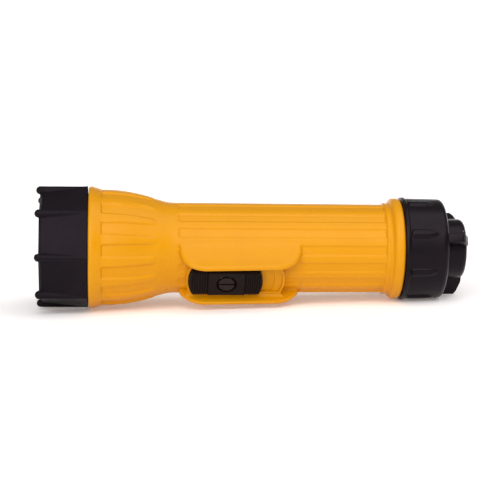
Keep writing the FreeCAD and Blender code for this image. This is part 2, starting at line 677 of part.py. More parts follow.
def build_strip(name, front, rear):
    """A brass strip in the bore's groove, with a hole at each rivet that lies on it."""
    strip = block(name + "_bar", front, rear - front, STRIP_WIDTH, STRIP_BASE, STRIP_THICKNESS)
    inside = [station for station in RIVETS if number(front) < station < number(rear)]
    for index, station in enumerate(inside):
        hole = upright("{}_hole_{}".format(name, index), size("{}_hole_{}_radius".format(name, index), 0.95),
                       STRIP_THICKNESS + 2, station, STRIP_BASE - 1)
        strip = cut("{}_drilled_{}".format(name, index), strip, hole)
    strip.Label = name
    keep(strip)


build_strip("front_contact_strip", throat_front + 1, strip_front_end)
build_strip("rear_contact_strip", strip_rear_start, tube_rear)


def build_rivets():
    """Small rivets that hold the strips: a flat head inside the bore and a shank in the wall."""
    solids = []
    for station in RIVETS:
        base = STRIP_BASE.number
        head = Part.makeCylinder(1.6, 0.25, Vector(station, 0, base - 0.25), Z_AXIS)
        solids.append(head.fuse(Part.makeCylinder(0.88, 2.8, Vector(station, 0, base - 0.01), Z_AXIS)))
    return free_shape("strip_rivets", Part.makeCompound(solids))


build_rivets()

# ---------------------------------------------------------------- switch
SLIDER_BASE = POCKET_HEIGHT + FLAT * 2
STEM_FOOT = BAY_HEIGHT - 1.4
WELL_FLOOR = SLIDER_BASE + 1.3
DISC_THICKNESS = size("disc_thickness", 1.35)
GRIP_GROOVES = size("grip_grooves", 7)
GRIP_PITCH = size("grip_pitch", 1.12)
SEAL_SHEET = size("seal_sheet", 0.45)
BRIDGE_THICKNESS = size("bridge_thickness", 0.3)
doc.recompute()
button_station = slider_middle.number
sheet_top = BAY_HEIGHT - FLAT
sheet_base = sheet_top - SEAL_SHEET
bridge_base = STRIP_BASE + STRIP_THICKNESS + FLAT
bridge_top = bridge_base + BRIDGE_THICKNESS
disc_base = SLIDER_TOP + 0.05 - DISC_THICKNESS


def build_slider():
    """The sliding thumb piece: grooves across both ends, a plain pad, and the button's well."""
    slider = bowed_block(slider_front, SLIDER_LENGTH, SLIDER_WIDTH, SLIDER_BOW, SLIDER_BASE.number,
                         SLIDER_TOP.number)
    rims = [edge for edge in slider.Edges if edge.BoundBox.ZMin > SLIDER_TOP.number - 0.01]
    slider = slider.makeFillet(0.6, rims)
    stem = box_shape(slider_middle - STEM_LENGTH / 2, STEM_LENGTH, STEM_WIDTH, STEM_FOOT.number,
                     SLIDER_BASE.number + 0.5)
    slider = slider.fuse(stem)
    start = slider_front.number + 2.0
    pitch = GRIP_PITCH.number
    wide = SLIDER_WIDTH.number + 2
    tools = []
    for index in range(int(GRIP_GROOVES.number)):
        for station in (start + index * pitch, 2 * button_station - start - index * pitch):
            tools.append(box_shape(station - pitch * 0.22, pitch * 0.44, wide, SLIDER_TOP.number - 0.55, 40))
    middle = Vector(button_station, 0, 0)

    def drill(radius, low, high):
        return Part.makeCylinder(number(radius), high - low, middle + Vector(0, 0, low), Z_AXIS)

    tools.append(drill(BUTTON_WELL, WELL_FLOOR.number, 40))
    tools.append(drill(BUTTON_STEM + RUNNING, 10, 40))
    tools.append(drill(2.6, 10, BAY_HEIGHT.number - 0.2))
    return free_shape("switch_slider", slider.cut(Part.makeCompound(tools)))


build_slider()


def build_under_slider(name, length, width, low, thickness, hole, hole_length):
    """A flat piece under the deck that rides on the slider's stem, with a window for the stem."""
    plate = block(name + "_plate", slider_middle - length / 2, length, width, low, thickness)
    window = block(name + "_window", slider_middle - hole_length / 2, hole_length, hole, low - 1,
                   thickness + 2)
    piece = cut(name, plate, window)
    keep(piece)


SHEET_LENGTH = SLIDER_TRAVEL * 2 + STEM_LENGTH + 4
BRIDGE_LENGTH = size("bridge_length", 27.0)
doc.recompute()
build_under_slider("switch_seal", SHEET_LENGTH, BAY_WIDTH - 1.4, sheet_base, SEAL_SHEET,
                   STEM_WIDTH + FLAT * 2, STEM_LENGTH + FLAT * 2)
build_under_slider("switch_carriage", BRIDGE_LENGTH, BAY_WIDTH - 1.4, bridge_top, sheet_base - bridge_top,
                   STEM_WIDTH + FLAT * 2, STEM_LENGTH + FLAT * 2)
keep(block("switch_contact", slider_middle - BRIDGE_LENGTH / 2, BRIDGE_LENGTH, STRIP_WIDTH, bridge_base,
           BRIDGE_THICKNESS))


def build_button():
    """The signal button: a disc with a finger slot across it, on a stem through the slider."""
    disc_bottom = disc_base.number
    thickness = DISC_THICKNESS.number
    foot = BAY_HEIGHT.number - 0.8
    middle = Vector(button_station, 0, 0)
    disc = Part.makeCylinder(BUTTON_RADIUS.number, thickness, middle + Vector(0, 0, disc_bottom), Z_AXIS)
    disc = disc.makeFillet(0.3, [edge for edge in disc.Edges if edge.BoundBox.ZMin > disc_bottom + 0.1])
    stem = Part.makeCylinder(BUTTON_STEM.number, disc_bottom + 0.3 - foot, middle + Vector(0, 0, foot), Z_AXIS)
    slot = box_shape(button_station - BUTTON_RADIUS.number - 1, BUTTON_RADIUS * 2 + 2, 0.6,
                     disc_bottom + thickness - 0.5, 40)
    return free_shape("signal_button", disc.fuse(stem).cut(slot))


build_button()


def build_clip():
    """The ring that keeps the button from coming out, on the end of its stem."""
    base = BAY_HEIGHT.number - 0.7
    middle = Vector(button_station, 0, base)
    outer = Part.makeCylinder(2.3, 0.45, middle, Z_AXIS)
    inner = Part.makeCylinder(BUTTON_STEM.number, 0.45, middle, Z_AXIS)
    return free_shape("button_clip", outer.cut(inner))


build_clip()


def build_button_spring():
    """The coil under the button's disc, in the slider's well."""
    spring = coil(0, disc_base - WELL_FLOOR, 2.9, 2.9, 0.3, 2)
    spring.rotate(ORIGIN, Y_AXIS, -90)
    spring.translate(Vector(button_station, 0, WELL_FLOOR.number))
    return free_shape("button_spring", spring)


build_button_spring()

# ---------------------------------------------------------------- tail cap
THREAD_BORE = TAIL_TUBE_RADIUS + RUNNING


def build_tail_cap():
    """A turned cup with raised grip ribs, a round boss, three sloping lugs and a ring recess."""
    rounding = CAP_ROUNDING.number
    rear = cap_rear.number
    end = boss_rear.number
    lip = CAP_LIP_RADIUS.number
    radius = CAP_RADIUS.number
    boss = BOSS_RADIUS.number
    soft = BOSS_ROUNDING.number
    half = rounding * (1 - math.sqrt(0.5))
    nose = soft * (1 - math.sqrt(0.5))
    lip_rear = cap_front + CAP_LIP_LENGTH
    cup = revolve(chain((cap_front, 0), (cap_front, lip - 0.4), (cap_front + 0.4, lip), (lip_rear, lip),
                        (lip_rear + 0.4, radius), (rear - rounding, radius - 0.3),
                        [(rear - half, radius - 0.3 - half), (rear, radius - 0.3 - rounding)],
                        (rear, boss + 0.8), [(rear + 0.25, boss + 0.25), (rear + 0.8, boss)],
                        (end - soft, boss), [(end - nose, boss - nose), (end, boss - soft)],
                        (end, 0), (cap_front, 0)))
    rib = finger(lip_rear - 0.5, lip_rear + CAP_RIB_LENGTH, CAP_RIB_WIDTH, CAP_RIB_WIDTH * 0.8, 15,
                 radius + CAP_RIB_HEIGHT.number)
    rib_top = Part.makeCylinder(radius + CAP_RIB_HEIGHT.number - 0.1, CAP_LENGTH.number,
                                Vector(cap_front.number, 0, 0), X_AXIS)
    reach = LUG_REACH.number
    setback = LUG_SETBACK.number
    wide = LUG_WIDTH.number
    top = end - 0.1

    def side(x, z):
        return Vector(x, -wide / 2, z)

    outline = [side(rear - 4, 8), side(rear - 4, reach - 2.5), side(rear - 2.2, reach), side(top - setback - 1.4, reach),
               side(top - setback, reach - 1.4), side(top, reach - 6.5), side(top, 13), side(rear - 4, 8)]
    plate = Part.Face(Part.makePolygon(outline)).extrude(Vector(0, wide, 0))
    tops = [edge for edge in plate.Edges if edge.BoundBox.XMax > rear + 1 and edge.BoundBox.YLength < 0.01]
    lug = plate.makeFillet(0.7, tops)
    additions = [shape.common(rib_top) for shape in around(rib, CAP_RIBS, CAP_RIB_PHASE)]
    additions += around(lug, LUGS, LUG_PHASE)
    cap = cup.fuse(additions)
    hollow = revolve(chain((cap_front - 1, 0), (cap_front - 1, THREAD_BORE), (tube_rear + 1, THREAD_BORE),
                           (tube_rear + 1, BORE_RADIUS + 1), (cap_floor, BORE_RADIUS + 1), (cap_floor, 0),
                           (cap_front - 1, 0)))
    recess = Part.makeCylinder(RECESS_RADIUS.number, RECESS_DEPTH.number + 1,
                               Vector(end - RECESS_DEPTH.number, 0, 0), X_AXIS)
    pin_room = PIN_RADIUS.number
    pin_hole = Part.makeCylinder(pin_room, BOSS_RADIUS.number * 2, Vector(ring_station, -BOSS_RADIUS.number,
                                                                        PIN_HEIGHT.number), Y_AXIS)
    pin_hole.rotate(ORIGIN, X_AXIS, -ROLL.number)
    for tool in (hollow, recess, pin_hole):
        cap = cap.cut(tool)
    return free_shape("tail_cap", cap.removeSplitter())


ring_station = boss_rear.number - RECESS_DEPTH.number / 2 - 0.1


def in_true_upright(shape):
    """Undoes the roll for pieces that hang straight down as the light lies."""
    shape.rotate(ORIGIN, X_AXIS, -ROLL.number)
    return shape


build_tail_cap()


def build_ring_pin():
    """The pin across the boss that the hang ring swings on."""
    half = math.sqrt((BOSS_RADIUS.number - 0.6) ** 2 - PIN_HEIGHT.number ** 2)
    pin = Part.makeCylinder(PIN_RADIUS.number, 2 * half, Vector(ring_station, -half, PIN_HEIGHT.number), Y_AXIS)
    return free_shape("ring_pin", in_true_upright(pin))


build_ring_pin()


def build_hang_ring():
    """A flat ring with a knuckle on the pin; it hangs flat in the boss's recess."""
    thickness = RING_THICKNESS.number
    outside = RING_EYE_RADIUS.number + RING_RIM.number
    centre = ring_centre
    front = ring_station - thickness / 2
    disc = Part.makeCylinder(outside, thickness, Vector(front, 0, centre), X_AXIS)
    disc = disc.makeFillet(0.5, [edge for edge in disc.Edges if edge.Closed and edge.Length > 1
                                 and edge.BoundBox.XLength < 0.01])
    knuckle = Part.makeCylinder(1.45, 6, Vector(ring_station, -3, PIN_HEIGHT.number), Y_AXIS)
    web = Part.makeBox(thickness * 0.8, 6, PIN_HEIGHT.number - centre - RING_EYE_RADIUS.number - 0.6,
                       Vector(ring_station - thickness * 0.4, -3, centre + RING_EYE_RADIUS.number + 0.6))
    ring = disc.fuse([knuckle, web])
    eye = Part.makeCylinder(RING_EYE_RADIUS.number, thickness + 4, Vector(front - 2, 0, centre), X_AXIS)
    hole = Part.makeCylinder(PIN_RADIUS.number + RUNNING.number, 10, Vector(ring_station, -5, PIN_HEIGHT.number),
                             Y_AXIS)
    return free_shape("hang_ring", in_true_upright(ring.cut(eye).cut(hole)))


ring_centre = PIN_HEIGHT.number - RING_EYE_RADIUS.number - RING_RIM.number - 0.6
build_hang_ring()

keep(turned("tail_contact", [(cap_floor - CONTACT_THICKNESS, 0), (cap_floor - CONTACT_THICKNESS, BORE_RADIUS + 0.5),
                             (cap_floor, BORE_RADIUS + 0.5), (cap_floor, 0)]))
free_shape("tail_spring", coil(cell_rear, cap_floor - CONTACT_THICKNESS, 7.0, 13.0, 1.4, 4))

# ---------------------------------------------------------------- check and write
doc.recompute()
for item in doc.Objects:
    faults = {"Invalid", "Error"} & set(item.State)
    if faults:
        raise RuntimeError("{} is {}".format(item.Label, faults))
for piece in pieces:
    shape = piece.Shape
    if shape.isNull() or not shape.isValid():
        raise RuntimeError("{} has no valid shape".format(piece.Label))
    if not shape.Solids:
        raise RuntimeError("{} has no solid".format(piece.Label))

os.makedirs("parts", exist_ok=True)
for piece in pieces:
    piece.Shape.exportStep(os.path.join("parts", piece.Label + ".step"))
    print("{:22s} {:3d} solids {:10.1f} mm3".format(piece.Label, len(piece.Shape.Solids), piece.Shape.Volume))
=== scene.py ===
"""The look of the firefighter flashlight: moulded surfaces worked out with numpy around the CAD frame.

Pieces are in metres in the row's frame, +X from the lens to the tail cap and +Z up. The moulded surfaces are
worked out in millimetres in the switch-up frame: station from the front tips, across, and height towards the
switch. A turn is measured from the switch towards -Y, in radians unless it is a named phase in degrees."""

import json
import math

import bmesh
import bpy
import numpy as np
from mathutils import Matrix, Vector


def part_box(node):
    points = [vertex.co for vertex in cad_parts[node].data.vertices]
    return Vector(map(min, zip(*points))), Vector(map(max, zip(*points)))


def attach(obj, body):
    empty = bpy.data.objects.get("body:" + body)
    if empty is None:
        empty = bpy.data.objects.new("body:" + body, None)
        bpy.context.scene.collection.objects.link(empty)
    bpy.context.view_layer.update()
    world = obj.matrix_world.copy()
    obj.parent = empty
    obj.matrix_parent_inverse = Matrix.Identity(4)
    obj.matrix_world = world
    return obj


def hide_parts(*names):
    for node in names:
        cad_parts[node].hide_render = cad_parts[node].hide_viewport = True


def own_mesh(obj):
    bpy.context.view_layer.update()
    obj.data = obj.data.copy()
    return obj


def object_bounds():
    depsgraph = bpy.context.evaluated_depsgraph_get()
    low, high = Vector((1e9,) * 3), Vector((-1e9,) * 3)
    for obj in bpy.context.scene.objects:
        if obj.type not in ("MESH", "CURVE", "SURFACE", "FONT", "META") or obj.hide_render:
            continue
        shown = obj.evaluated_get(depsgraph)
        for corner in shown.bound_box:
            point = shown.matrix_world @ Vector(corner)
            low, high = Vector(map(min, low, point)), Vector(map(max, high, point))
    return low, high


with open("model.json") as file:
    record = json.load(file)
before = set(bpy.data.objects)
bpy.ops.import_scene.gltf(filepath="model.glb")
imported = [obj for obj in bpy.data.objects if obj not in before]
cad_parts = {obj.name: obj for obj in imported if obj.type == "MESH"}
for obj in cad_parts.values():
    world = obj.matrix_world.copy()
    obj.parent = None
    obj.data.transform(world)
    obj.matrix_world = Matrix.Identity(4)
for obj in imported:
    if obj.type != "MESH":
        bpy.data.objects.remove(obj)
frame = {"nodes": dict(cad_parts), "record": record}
cad_low, cad_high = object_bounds()
MM = 0.001
NOISE_MIDDLE = (0.3, 0.7)
NO_TINT = (1.0, 1.0, 1.0, 1.0)
PURPLE_SHEEN = (1.0, 0.84, 0.97, 1.0)
RING_SHEEN = (1.0, 0.86, 0.98, 1.0)


# ---------------------------------------------------------------- node helpers
def new_material(name):
    """A node material with its Principled shader; returns the material, its node tree and the shader."""
    material = bpy.data.materials.new(name)
    material.use_nodes = True
    tree = material.node_tree
    return material, tree, tree.nodes["Principled BSDF"]


def object_coordinates(tree):
    """The piece's own coordinates, which stay with it when it moves."""
    return tree.nodes.new("ShaderNodeTexCoord").outputs["Object"]


def noise(tree, scale, detail=2.0, roughness=0.5):
    """A noise texture over the piece; scale is in waves a metre."""
    node = tree.nodes.new("ShaderNodeTexNoise")
    node.inputs["Scale"].default_value = scale
    node.inputs["Detail"].default_value = detail
    node.inputs["Roughness"].default_value = roughness
    tree.links.new(object_coordinates(tree), node.inputs["Vector"])
    return node.outputs["Fac"]


def ramp(tree, source, low, high):
    """Maps the middle of a noise's range to a colour or a grey between two ends."""
    node = tree.nodes.new("ShaderNodeValToRGB")
    for element, position, colour in zip(node.color_ramp.elements, NOISE_MIDDLE, (low, high)):
        element.position = position
        element.color = tuple(colour) + (1.0,)
    tree.links.new(source, node.inputs["Fac"])
    return node.outputs["Color"]


def bump(tree, source, depth):
    """A surface relief from a height value, depth in metres."""
    node = tree.nodes.new("ShaderNodeBump")
    node.inputs["Distance"].default_value = depth
    node.inputs["Strength"].default_value = 1.0
    tree.links.new(source, node.inputs["Height"])
    return node.outputs["Normal"]


def moulded_plastic(name, colour, shade, roughness, grain, grain_depth, specular=0.5, tint=NO_TINT):
    """Moulded plastic: slow colour drift, uneven gloss and a fine surface grain."""
    material, tree, shader = new_material(name)
    drift = noise(tree, 45.0, 3.0)
    tree.links.new(ramp(tree, drift, shade, colour), shader.inputs["Base Color"])
    gloss = noise(tree, 160.0, 4.0)
    low = (roughness - 0.04,) * 3
    high = (roughness + 0.05,) * 3
    tree.links.new(ramp(tree, gloss, low, high), shader.inputs["Roughness"])
    tree.links.new(bump(tree, noise(tree, grain, 2.0, 0.6), grain_depth), shader.inputs["Normal"])
    shader.inputs["Specular IOR Level"].default_value = specular
    shader.inputs["Specular Tint"].default_value = tint
    return material


def metal(name, colour, roughness, grain=900.0, depth=0.00001):
    """Bare or plated metal: uneven gloss and a very shallow drawn relief."""
    material, tree, shader = new_material(name)
    shader.inputs["Metallic"].default_value = 1.0
    shader.inputs["Base Color"].default_value = tuple(colour) + (1.0,)
    tree.links.new(ramp(tree, noise(tree, grain, 3.0), (roughness - 0.06,) * 3, (roughness + 0.06,) * 3),
                   shader.inputs["Roughness"])
    tree.links.new(bump(tree, noise(tree, grain * 2, 2.0), depth), shader.inputs["Normal"])
    return material


def clear(name, tint, roughness):
    """Clear moulded plastic or glass with a slightly uneven surface."""
    material, tree, shader = new_material(name)
    shader.inputs["Base Color"].default_value = tuple(tint) + (1.0,)
    shader.inputs["Transmission Weight"].default_value = 1.0
    shader.inputs["IOR"].default_value = 1.49
    tree.links.new(ramp(tree, noise(tree, 300.0), (roughness,) * 3, (roughness + 0.03,) * 3),
                   shader.inputs["Roughness"])
    return material


YELLOW = moulded_plastic("safety_yellow", (0.655, 0.276, 0.0030), (0.630, 0.260, 0.0024),
                         0.30, 2600.0, 0.000010, 0.15)
BLACK = moulded_plastic("black_nylon", (0.0050, 0.0028, 0.0044), (0.0032, 0.0018, 0.0028),
                        0.31, 1800.0, 0.00002, 0.15, PURPLE_SHEEN)
BLACK_GRAIN = moulded_plastic("black_grained_ring", (0.0080, 0.0052, 0.0078), (0.0046, 0.0030, 0.0045),
                              0.44, 1900.0, 0.00014, 0.10, RING_SHEEN)
# Painted bounce light: the slider's black is lighter and warmer than the black nylon, standing in for light
# thrown on it by the yellow guards.
SLIDER_BLACK_PAINTED_BOUNCE = moulded_plastic("slider_black_painted_bounce", (0.0125, 0.0068, 0.0062), (0.0090, 0.0050, 0.0044),
                               0.42, 1500.0, 0.00003, 0.08)
# Painted bounce light: the button's black is lighter and warmer than the black nylon, standing in for light
# thrown on it by the yellow guards.
BUTTON_BLACK_PAINTED_BOUNCE = moulded_plastic("button_black_painted_bounce", (0.0215, 0.0128, 0.0116), (0.0175, 0.0105, 0.0095),
                               0.38, 1500.0, 0.00002, 0.12)
RUBBER = moulded_plastic("seal_rubber", (0.02, 0.02, 0.02), (0.015, 0.015, 0.015), 0.65, 2000.0, 0.00003)
WHITE = moulded_plastic("white_nylon", (0.78, 0.77, 0.73), (0.72, 0.71, 0.67), 0.45, 1500.0, 0.00002)
LENS = clear("lens_clear", (0.98, 0.99, 1.0), 0.02)
BULB = clear("bulb_clear", (1.0, 1.0, 1.0), 0.01)
MIRROR = metal("reflector_plating", (0.90, 0.90, 0.91), 0.10, 400.0, 0.000004)
BRASS = metal("brass", (0.80, 0.58, 0.24), 0.30)
STEEL = metal("spring_steel", (0.60, 0.60, 0.62), 0.28)
NICKEL = metal("nickel_plate", (0.52, 0.51, 0.49), 0.26)
JACKET = moulded_plastic("cell_sleeve", (0.05, 0.09, 0.22), (0.04, 0.07, 0.18), 0.25, 900.0, 0.00001)
FINISHES = {
    "yellow_polymer": YELLOW, "black_polymer": BLACK, "black_ring": BLACK_GRAIN, "clear_lens": LENS,
    "bulb_glass": BULB, "seal_rubber": RUBBER, "reflector_metal": MIRROR, "white_polymer": WHITE,
    "brass": BRASS, "spring_steel": STEEL, "plated_steel": NICKEL, "cell_jacket": JACKET,
}


def finish_nodes():
    """Gives every CAD node the finish of its material slot."""
    for subpart in frame["record"]["subparts"]:
        node = frame["nodes"][subpart["node"]]
        node.data.materials.clear()
        node.data.materials.append(FINISHES[subpart["material_slot"]])


finish_nodes()


# ---------------------------------------------------------------- sizes of the moulded surfaces, in millimetres
WELD = 0.000002

# flutes and bell
FLUTE_COUNT, FLUTE_PHASE, FLUTE_DEPTH, FLUTE_HALF = 16, -2.5, 0.50, 2.15
LOBE_DEPTH, LOBE_FRONT, LOBE_TIP = 0.72, 31.1, 54.7
LOBE_HALF_FRONT, LOBE_HALF_REAR, LOBE_END = 2.85, 1.9, 62.0
GRIP_FRONT, GRIP_REAR = 66.9, 164.6

# bore, neck and threads
BORE, NECK, SOCKET, APERTURE = 17.6, 24.12, 21.92, 22.3
NECK_FRONT, NECK_REAR, SEAL_FLOOR, FLANGE_RADIUS = 10.9, 25.2, 22.65, 28.4
TAIL_TUBE, TUBE_REAR, TAIL_SEAL_FLOOR, TAIL_MOUTH = 21.3, 183.8, 19.8, 18.4
THREAD_DEPTH, HEAD_PITCH, TAIL_PITCH = 0.45, 3.0, 3.2

# guards beside the switch
GUARD_FRONT, GUARD_REAR, GUARD_CORNER = 67.4, 124.3, 12.3
GUARD_HEIGHT, GUARD_FALL = 28.7, 0.9
GUARD_INSIDE, GUARD_OUTSIDE, GUARD_ROOT, GUARD_FOOT = 9.5, 11.7, 15.6, 13.98
GUARD_FILLET, OUTER_ROUND, INNER_ROUND = 2.0, 1.5, 0.6

# channel, deck and pocket under the slider
BAY_HEIGHT, POCKET_HEIGHT, DECK_HEIGHT, LIP_RISE = 20.4, 22.4, 23.4, 0.3
CHANNEL_FLOOR, GUTTER_HEIGHT = 18.4, 18.5
POCKET_FRONT, POCKET_REAR, POCKET_HALF = 71.3, 115.7, 7.1
SHELF_FRONT, SHELF_RISE = 111.7, 0.4
LIP_FRONT, LIP_REAR = POCKET_FRONT - 0.9, POCKET_REAR + 0.9
SLOT_FRONT, SLOT_REAR, SLOT_HALF = 83.85, 103.15, 3.45
BAY_FRONT, BAY_REAR, BAY_HALF = 70.2, 116.8, 6.2

# lens ring
RING_SIDES, RING_PHASE = 8, 15.5
RING_FRONT, RING_REAR, RING_CHAMFER = 2.4, 24.8, 1.1
RING_CORNER, RING_FLARE = 27.2, 2.0
RIB_ROUND, RIB_TAPER, RIB_CREST = 1.95, 0.9, 29.0
NOSE_STATION, RING_FILLET, RING_FACE = 2.45, 0.25, 4.2
CAST_REACH, HALVINGS = 9.0, 34

# tail cap
CAP_FRONT, CAP_RADIUS, CAP_LIP_RADIUS, CAP_TAPER = 173.2, 24.0, 24.5, 0.3
CAP_BODY, CAP_SHOULDER, CAP_ROUNDING, CAP_FACE = 175.6, 191.0, 2.8, 193.8
BOSS_RADIUS, BOSS_FOOT, BOSS_ROUNDING, BOSS_SHOULDER = 14.2, 1.1, 2.6, 201.3
RECESS_RADIUS, RECESS_FLOOR, CAP_BORE = 11.4, 200.3, 18.6
CAP_RIBS, CAP_RIB_PHASE, CAP_RIB_RISE = 8, 33.0, 0.92
CAP_RIB_HALF, CAP_RIB_START, CAP_RIB_TIP, CAP_RIB_NOSE = 1.95, 175.9, 183.8, 4.2
LUG_PHASE, LUG_REACH, LUG_HALF, LUGS = 66.5, 22.4, 2.15, 3

# slider, signal button and its spring
SLIDER_HALF, SLIDER_REACH, SLIDER_LOW, SLIDER_TOP = 6.7, 17.55, 22.95, 26.7
SLIDER_BOW, REAR_REACH, SLIDER_ROUND = 1.5, 16.9, 0.45
PAD_HALF, PAD_RISE, WELL_RADIUS, WELL_FLOOR, STEM_HOLE = 8.6, 0.80, 4.70, 23.8, 1.56
GRIP_BARS, GRIP_START, GRIP_BAR_HALF = 7, 9.5, 0.29
BUTTON_STATION, BUTTON_RADIUS, BUTTON_TOP, BUTTON_BASE = 89.25, 3.78, 26.75, 25.4
BUTTON_SLOT_HALF, BUTTON_SLOT_DEPTH, BUTTON_STEM, STEM_FOOT = 0.42, 1.0, 1.5, 19.65
BUTTON_SPRING_COIL, BUTTON_SPRING_WIRE, BUTTON_SPRING_TURNS = 2.9, 0.28, 2.0


# ---------------------------------------------------------------- helpers for worked-out surfaces
def joint_axis(name):
    """The axis of one of the record's joints."""
    return next(joint["axis"] for joint in frame["record"]["behaviour"]["joints"] if joint["name"] == name)


PRESS = joint_axis("button_press")
ROLL = math.atan2(PRESS[1], -PRESS[2])


def place(station, across, height):
    """Millimetres in the switch-up frame to metres in the row's frame."""
    station, across, height = np.broadcast_arrays(station, across, height)
    return np.stack([cad_low[0] + station * MM,
                     (across * math.cos(ROLL) - height * math.sin(ROLL)) * MM,
                     (across * math.sin(ROLL) + height * math.cos(ROLL)) * MM], axis=-1)


def step(low, high, value):
    """A smooth step: 0 below low, 1 above high, and 3t^2 - 2t^3 between."""
    share = np.clip((value - low) / (high - low), 0.0, 1.0)
    return share * share * (3.0 - 2.0 * share)


def smooth_max(first, second, width):
    """The larger of two fields, rounded over a width where they cross."""
    share = np.clip(0.5 + 0.5 * (first - second) / width, 0.0, 1.0)
    return second * (1 - share) + first * share + width * share * (1 - share)


def circle_through(start, middle, end, count):
    """Points of the circular arc through three points, as an array of (station, radius)."""
    (ax, ay), (bx, by), (cx, cy) = start, middle, end
    scale = 2 * (ax * (by - cy) + bx * (cy - ay) + cx * (ay - by))
    a2, b2, c2 = ax * ax + ay * ay, bx * bx + by * by, cx * cx + cy * cy
    ux = (a2 * (by - cy) + b2 * (cy - ay) + c2 * (ay - by)) / scale
    uy = (a2 * (cx - bx) + b2 * (ax - cx) + c2 * (bx - ax)) / scale
    first, half, last = (math.atan2(y - uy, x - ux) for x, y in (start, middle, end))
    sweep = (last - first) % (2 * math.pi)
    if (half - first) % (2 * math.pi) > sweep:
        sweep -= 2 * math.pi
    turn = first + sweep * np.linspace(0, 1, count)
    reach = math.hypot(ax - ux, ay - uy)
    return np.stack([ux + reach * np.cos(turn), uy + reach * np.sin(turn)], axis=1)


def grid_faces(rows, columns, around=True, along=False):
    """Quads of a grid of points, closed round its columns and, where asked, along its rows."""
    row = np.arange(rows if along else rows - 1)[:, None]
    column = np.arange(columns if around else columns - 1)[None, :]
    next_row = (row + 1) % rows
    next_column = (column + 1) % columns
    corners = [row * columns + column, row * columns + next_column,
               next_row * columns + next_column, next_row * columns + column]
    return np.stack([np.broadcast_to(corner, corners[0].shape) for corner in corners], axis=-1).reshape(-1, 4)


def finish_piece(name, points, faces, slot, body, nodes, crease=34.0, bevel=None, look=None):
    """Makes a piece from points and faces, welds its seams, turns its faces outwards, hangs it under its body's
    empty and hides the CAD nodes that it replaces.

    A look is a finish of the piece's own, in place of its slot's. A bevel is a width in millimetres."""
    mesh = bpy.data.meshes.new(name)
    mesh.from_pydata(np.asarray(points).reshape(-1, 3).tolist(), [], [list(face) for face in faces])
    shape = bmesh.new()
    shape.from_mesh(mesh)
    bmesh.ops.remove_doubles(shape, verts=shape.verts, dist=WELD)
    bmesh.ops.dissolve_degenerate(shape, edges=shape.edges, dist=WELD)
    if bevel:
        bmesh.ops.bevel(shape, geom=shape.edges[:], offset=bevel * MM, segments=3, profile=0.5,
                        affect="EDGES", clamp_overlap=True)
    bmesh.ops.recalc_face_normals(shape, faces=shape.faces)
    if shape.calc_volume(signed=True) < 0:
        bmesh.ops.reverse_faces(shape, faces=shape.faces)
    shape.to_mesh(mesh)
    shape.free()
    mesh.shade_smooth()
    mesh.set_sharp_from_angle(angle=math.radians(crease))
    piece = bpy.data.objects.new(name, mesh)
    bpy.context.scene.collection.objects.link(piece)
    mesh.materials.append(look or FINISHES[slot])
    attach(piece, body)
    for node in nodes:
        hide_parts(node)
    return piece


# ---------------------------------------------------------------- barrel
# The crown is the barrel's profile over its flutes: bell, neck fillet, grip, bead, rear flange.
CROWN = np.concatenate([
    [[25.2, FLANGE_RADIUS], [25.6, 28.7], [26.2, 28.88], [26.9, 28.85]],
    [[29.6, 28.0], [30.9, 27.55], [31.3, 27.42]],
    circle_through((31.4, 27.4), (43.6, 26.55), (57.5, 23.05), 40),
    circle_through((57.6, 23.0), (60.5, 22.05), (66.2, 21.37), 20),
    [[67.2, 21.4], [164.4, 21.0]],
    circle_through((GRIP_REAR, 21.3), (165.3, 21.75), (166.1, 21.65), 8),
    [[166.5, 21.65]],
    circle_through((166.6, 21.67), (167.3, 21.95), (167.9, 22.85), 8),
    circle_through((168.0, 22.95), (168.6, 23.65), (169.7, 23.95), 8),
    [[171.1, 23.95]],
    circle_through((171.2, 23.94), (172.3, 23.7), (172.8, 23.05), 6)])


def flute_share(station, turn):
    """How far a point stands on a raised flute, 0 to 1, sixteen about the axis: bars on the grip, and fingers
    with round rear ends on the bell. The side distance is the arc to the middle of the nearest flute."""
    pitch = 2 * math.pi / FLUTE_COUNT
    offset = (turn - math.radians(FLUTE_PHASE) + pitch / 2) % pitch - pitch / 2
    side = np.abs(offset) * np.interp(station, CROWN[:, 0], CROWN[:, 1])
    lobe_half = np.interp(station, [LOBE_FRONT, LOBE_TIP], [LOBE_HALF_FRONT, LOBE_HALF_REAR])
    lobe = lobe_half - np.hypot(side, np.maximum(station - LOBE_TIP, 0.0))
    lobe = np.where(station < LOBE_END, lobe, -1.0)
    bar = np.where(station > GRIP_FRONT + 0.1, FLUTE_HALF - side, -1.0)
    return step(-0.30, 0.75, np.maximum(lobe, bar))


def barrel_radius(station, turn):
    """The outside radius: the crown's profile, less the flute depth wherever a point isn't on a flute."""
    crown = np.interp(station, CROWN[:, 0], CROWN[:, 1])
    bell_share = 1 - step(LOBE_TIP - 2.7, LOBE_TIP + 5.3, station)
    depth = LOBE_DEPTH * bell_share + FLUTE_DEPTH * step(GRIP_FRONT, GRIP_FRONT + 0.6, station)
    begins = step(LOBE_FRONT - 0.2, LOBE_FRONT + 0.4, station)
    ends = 1 - step(GRIP_REAR - 0.7, GRIP_REAR, station)
    return crown - depth * begins * ends * (1 - flute_share(station, turn))


def corner_drop(inward):
    """How far the guards' round corner lies below the crown, at a distance in from the end."""
    return GUARD_CORNER - np.sqrt(np.maximum(GUARD_CORNER ** 2 - (GUARD_CORNER - inward) ** 2, 0))


def guard_top(station):
    """The guards' side outline: a round corner at each end and a crown that falls a little to the rear."""
    front = np.clip(station - GUARD_FRONT, 0, GUARD_CORNER)
    rear = np.clip(GUARD_REAR - station, 0, GUARD_CORNER)
    straight = GUARD_REAR - GUARD_FRONT - 2 * GUARD_CORNER
    share = np.clip((station - GUARD_FRONT - GUARD_CORNER) / straight, 0, 1)
    return GUARD_HEIGHT - GUARD_FALL * share - corner_drop(front) - corner_drop(rear)


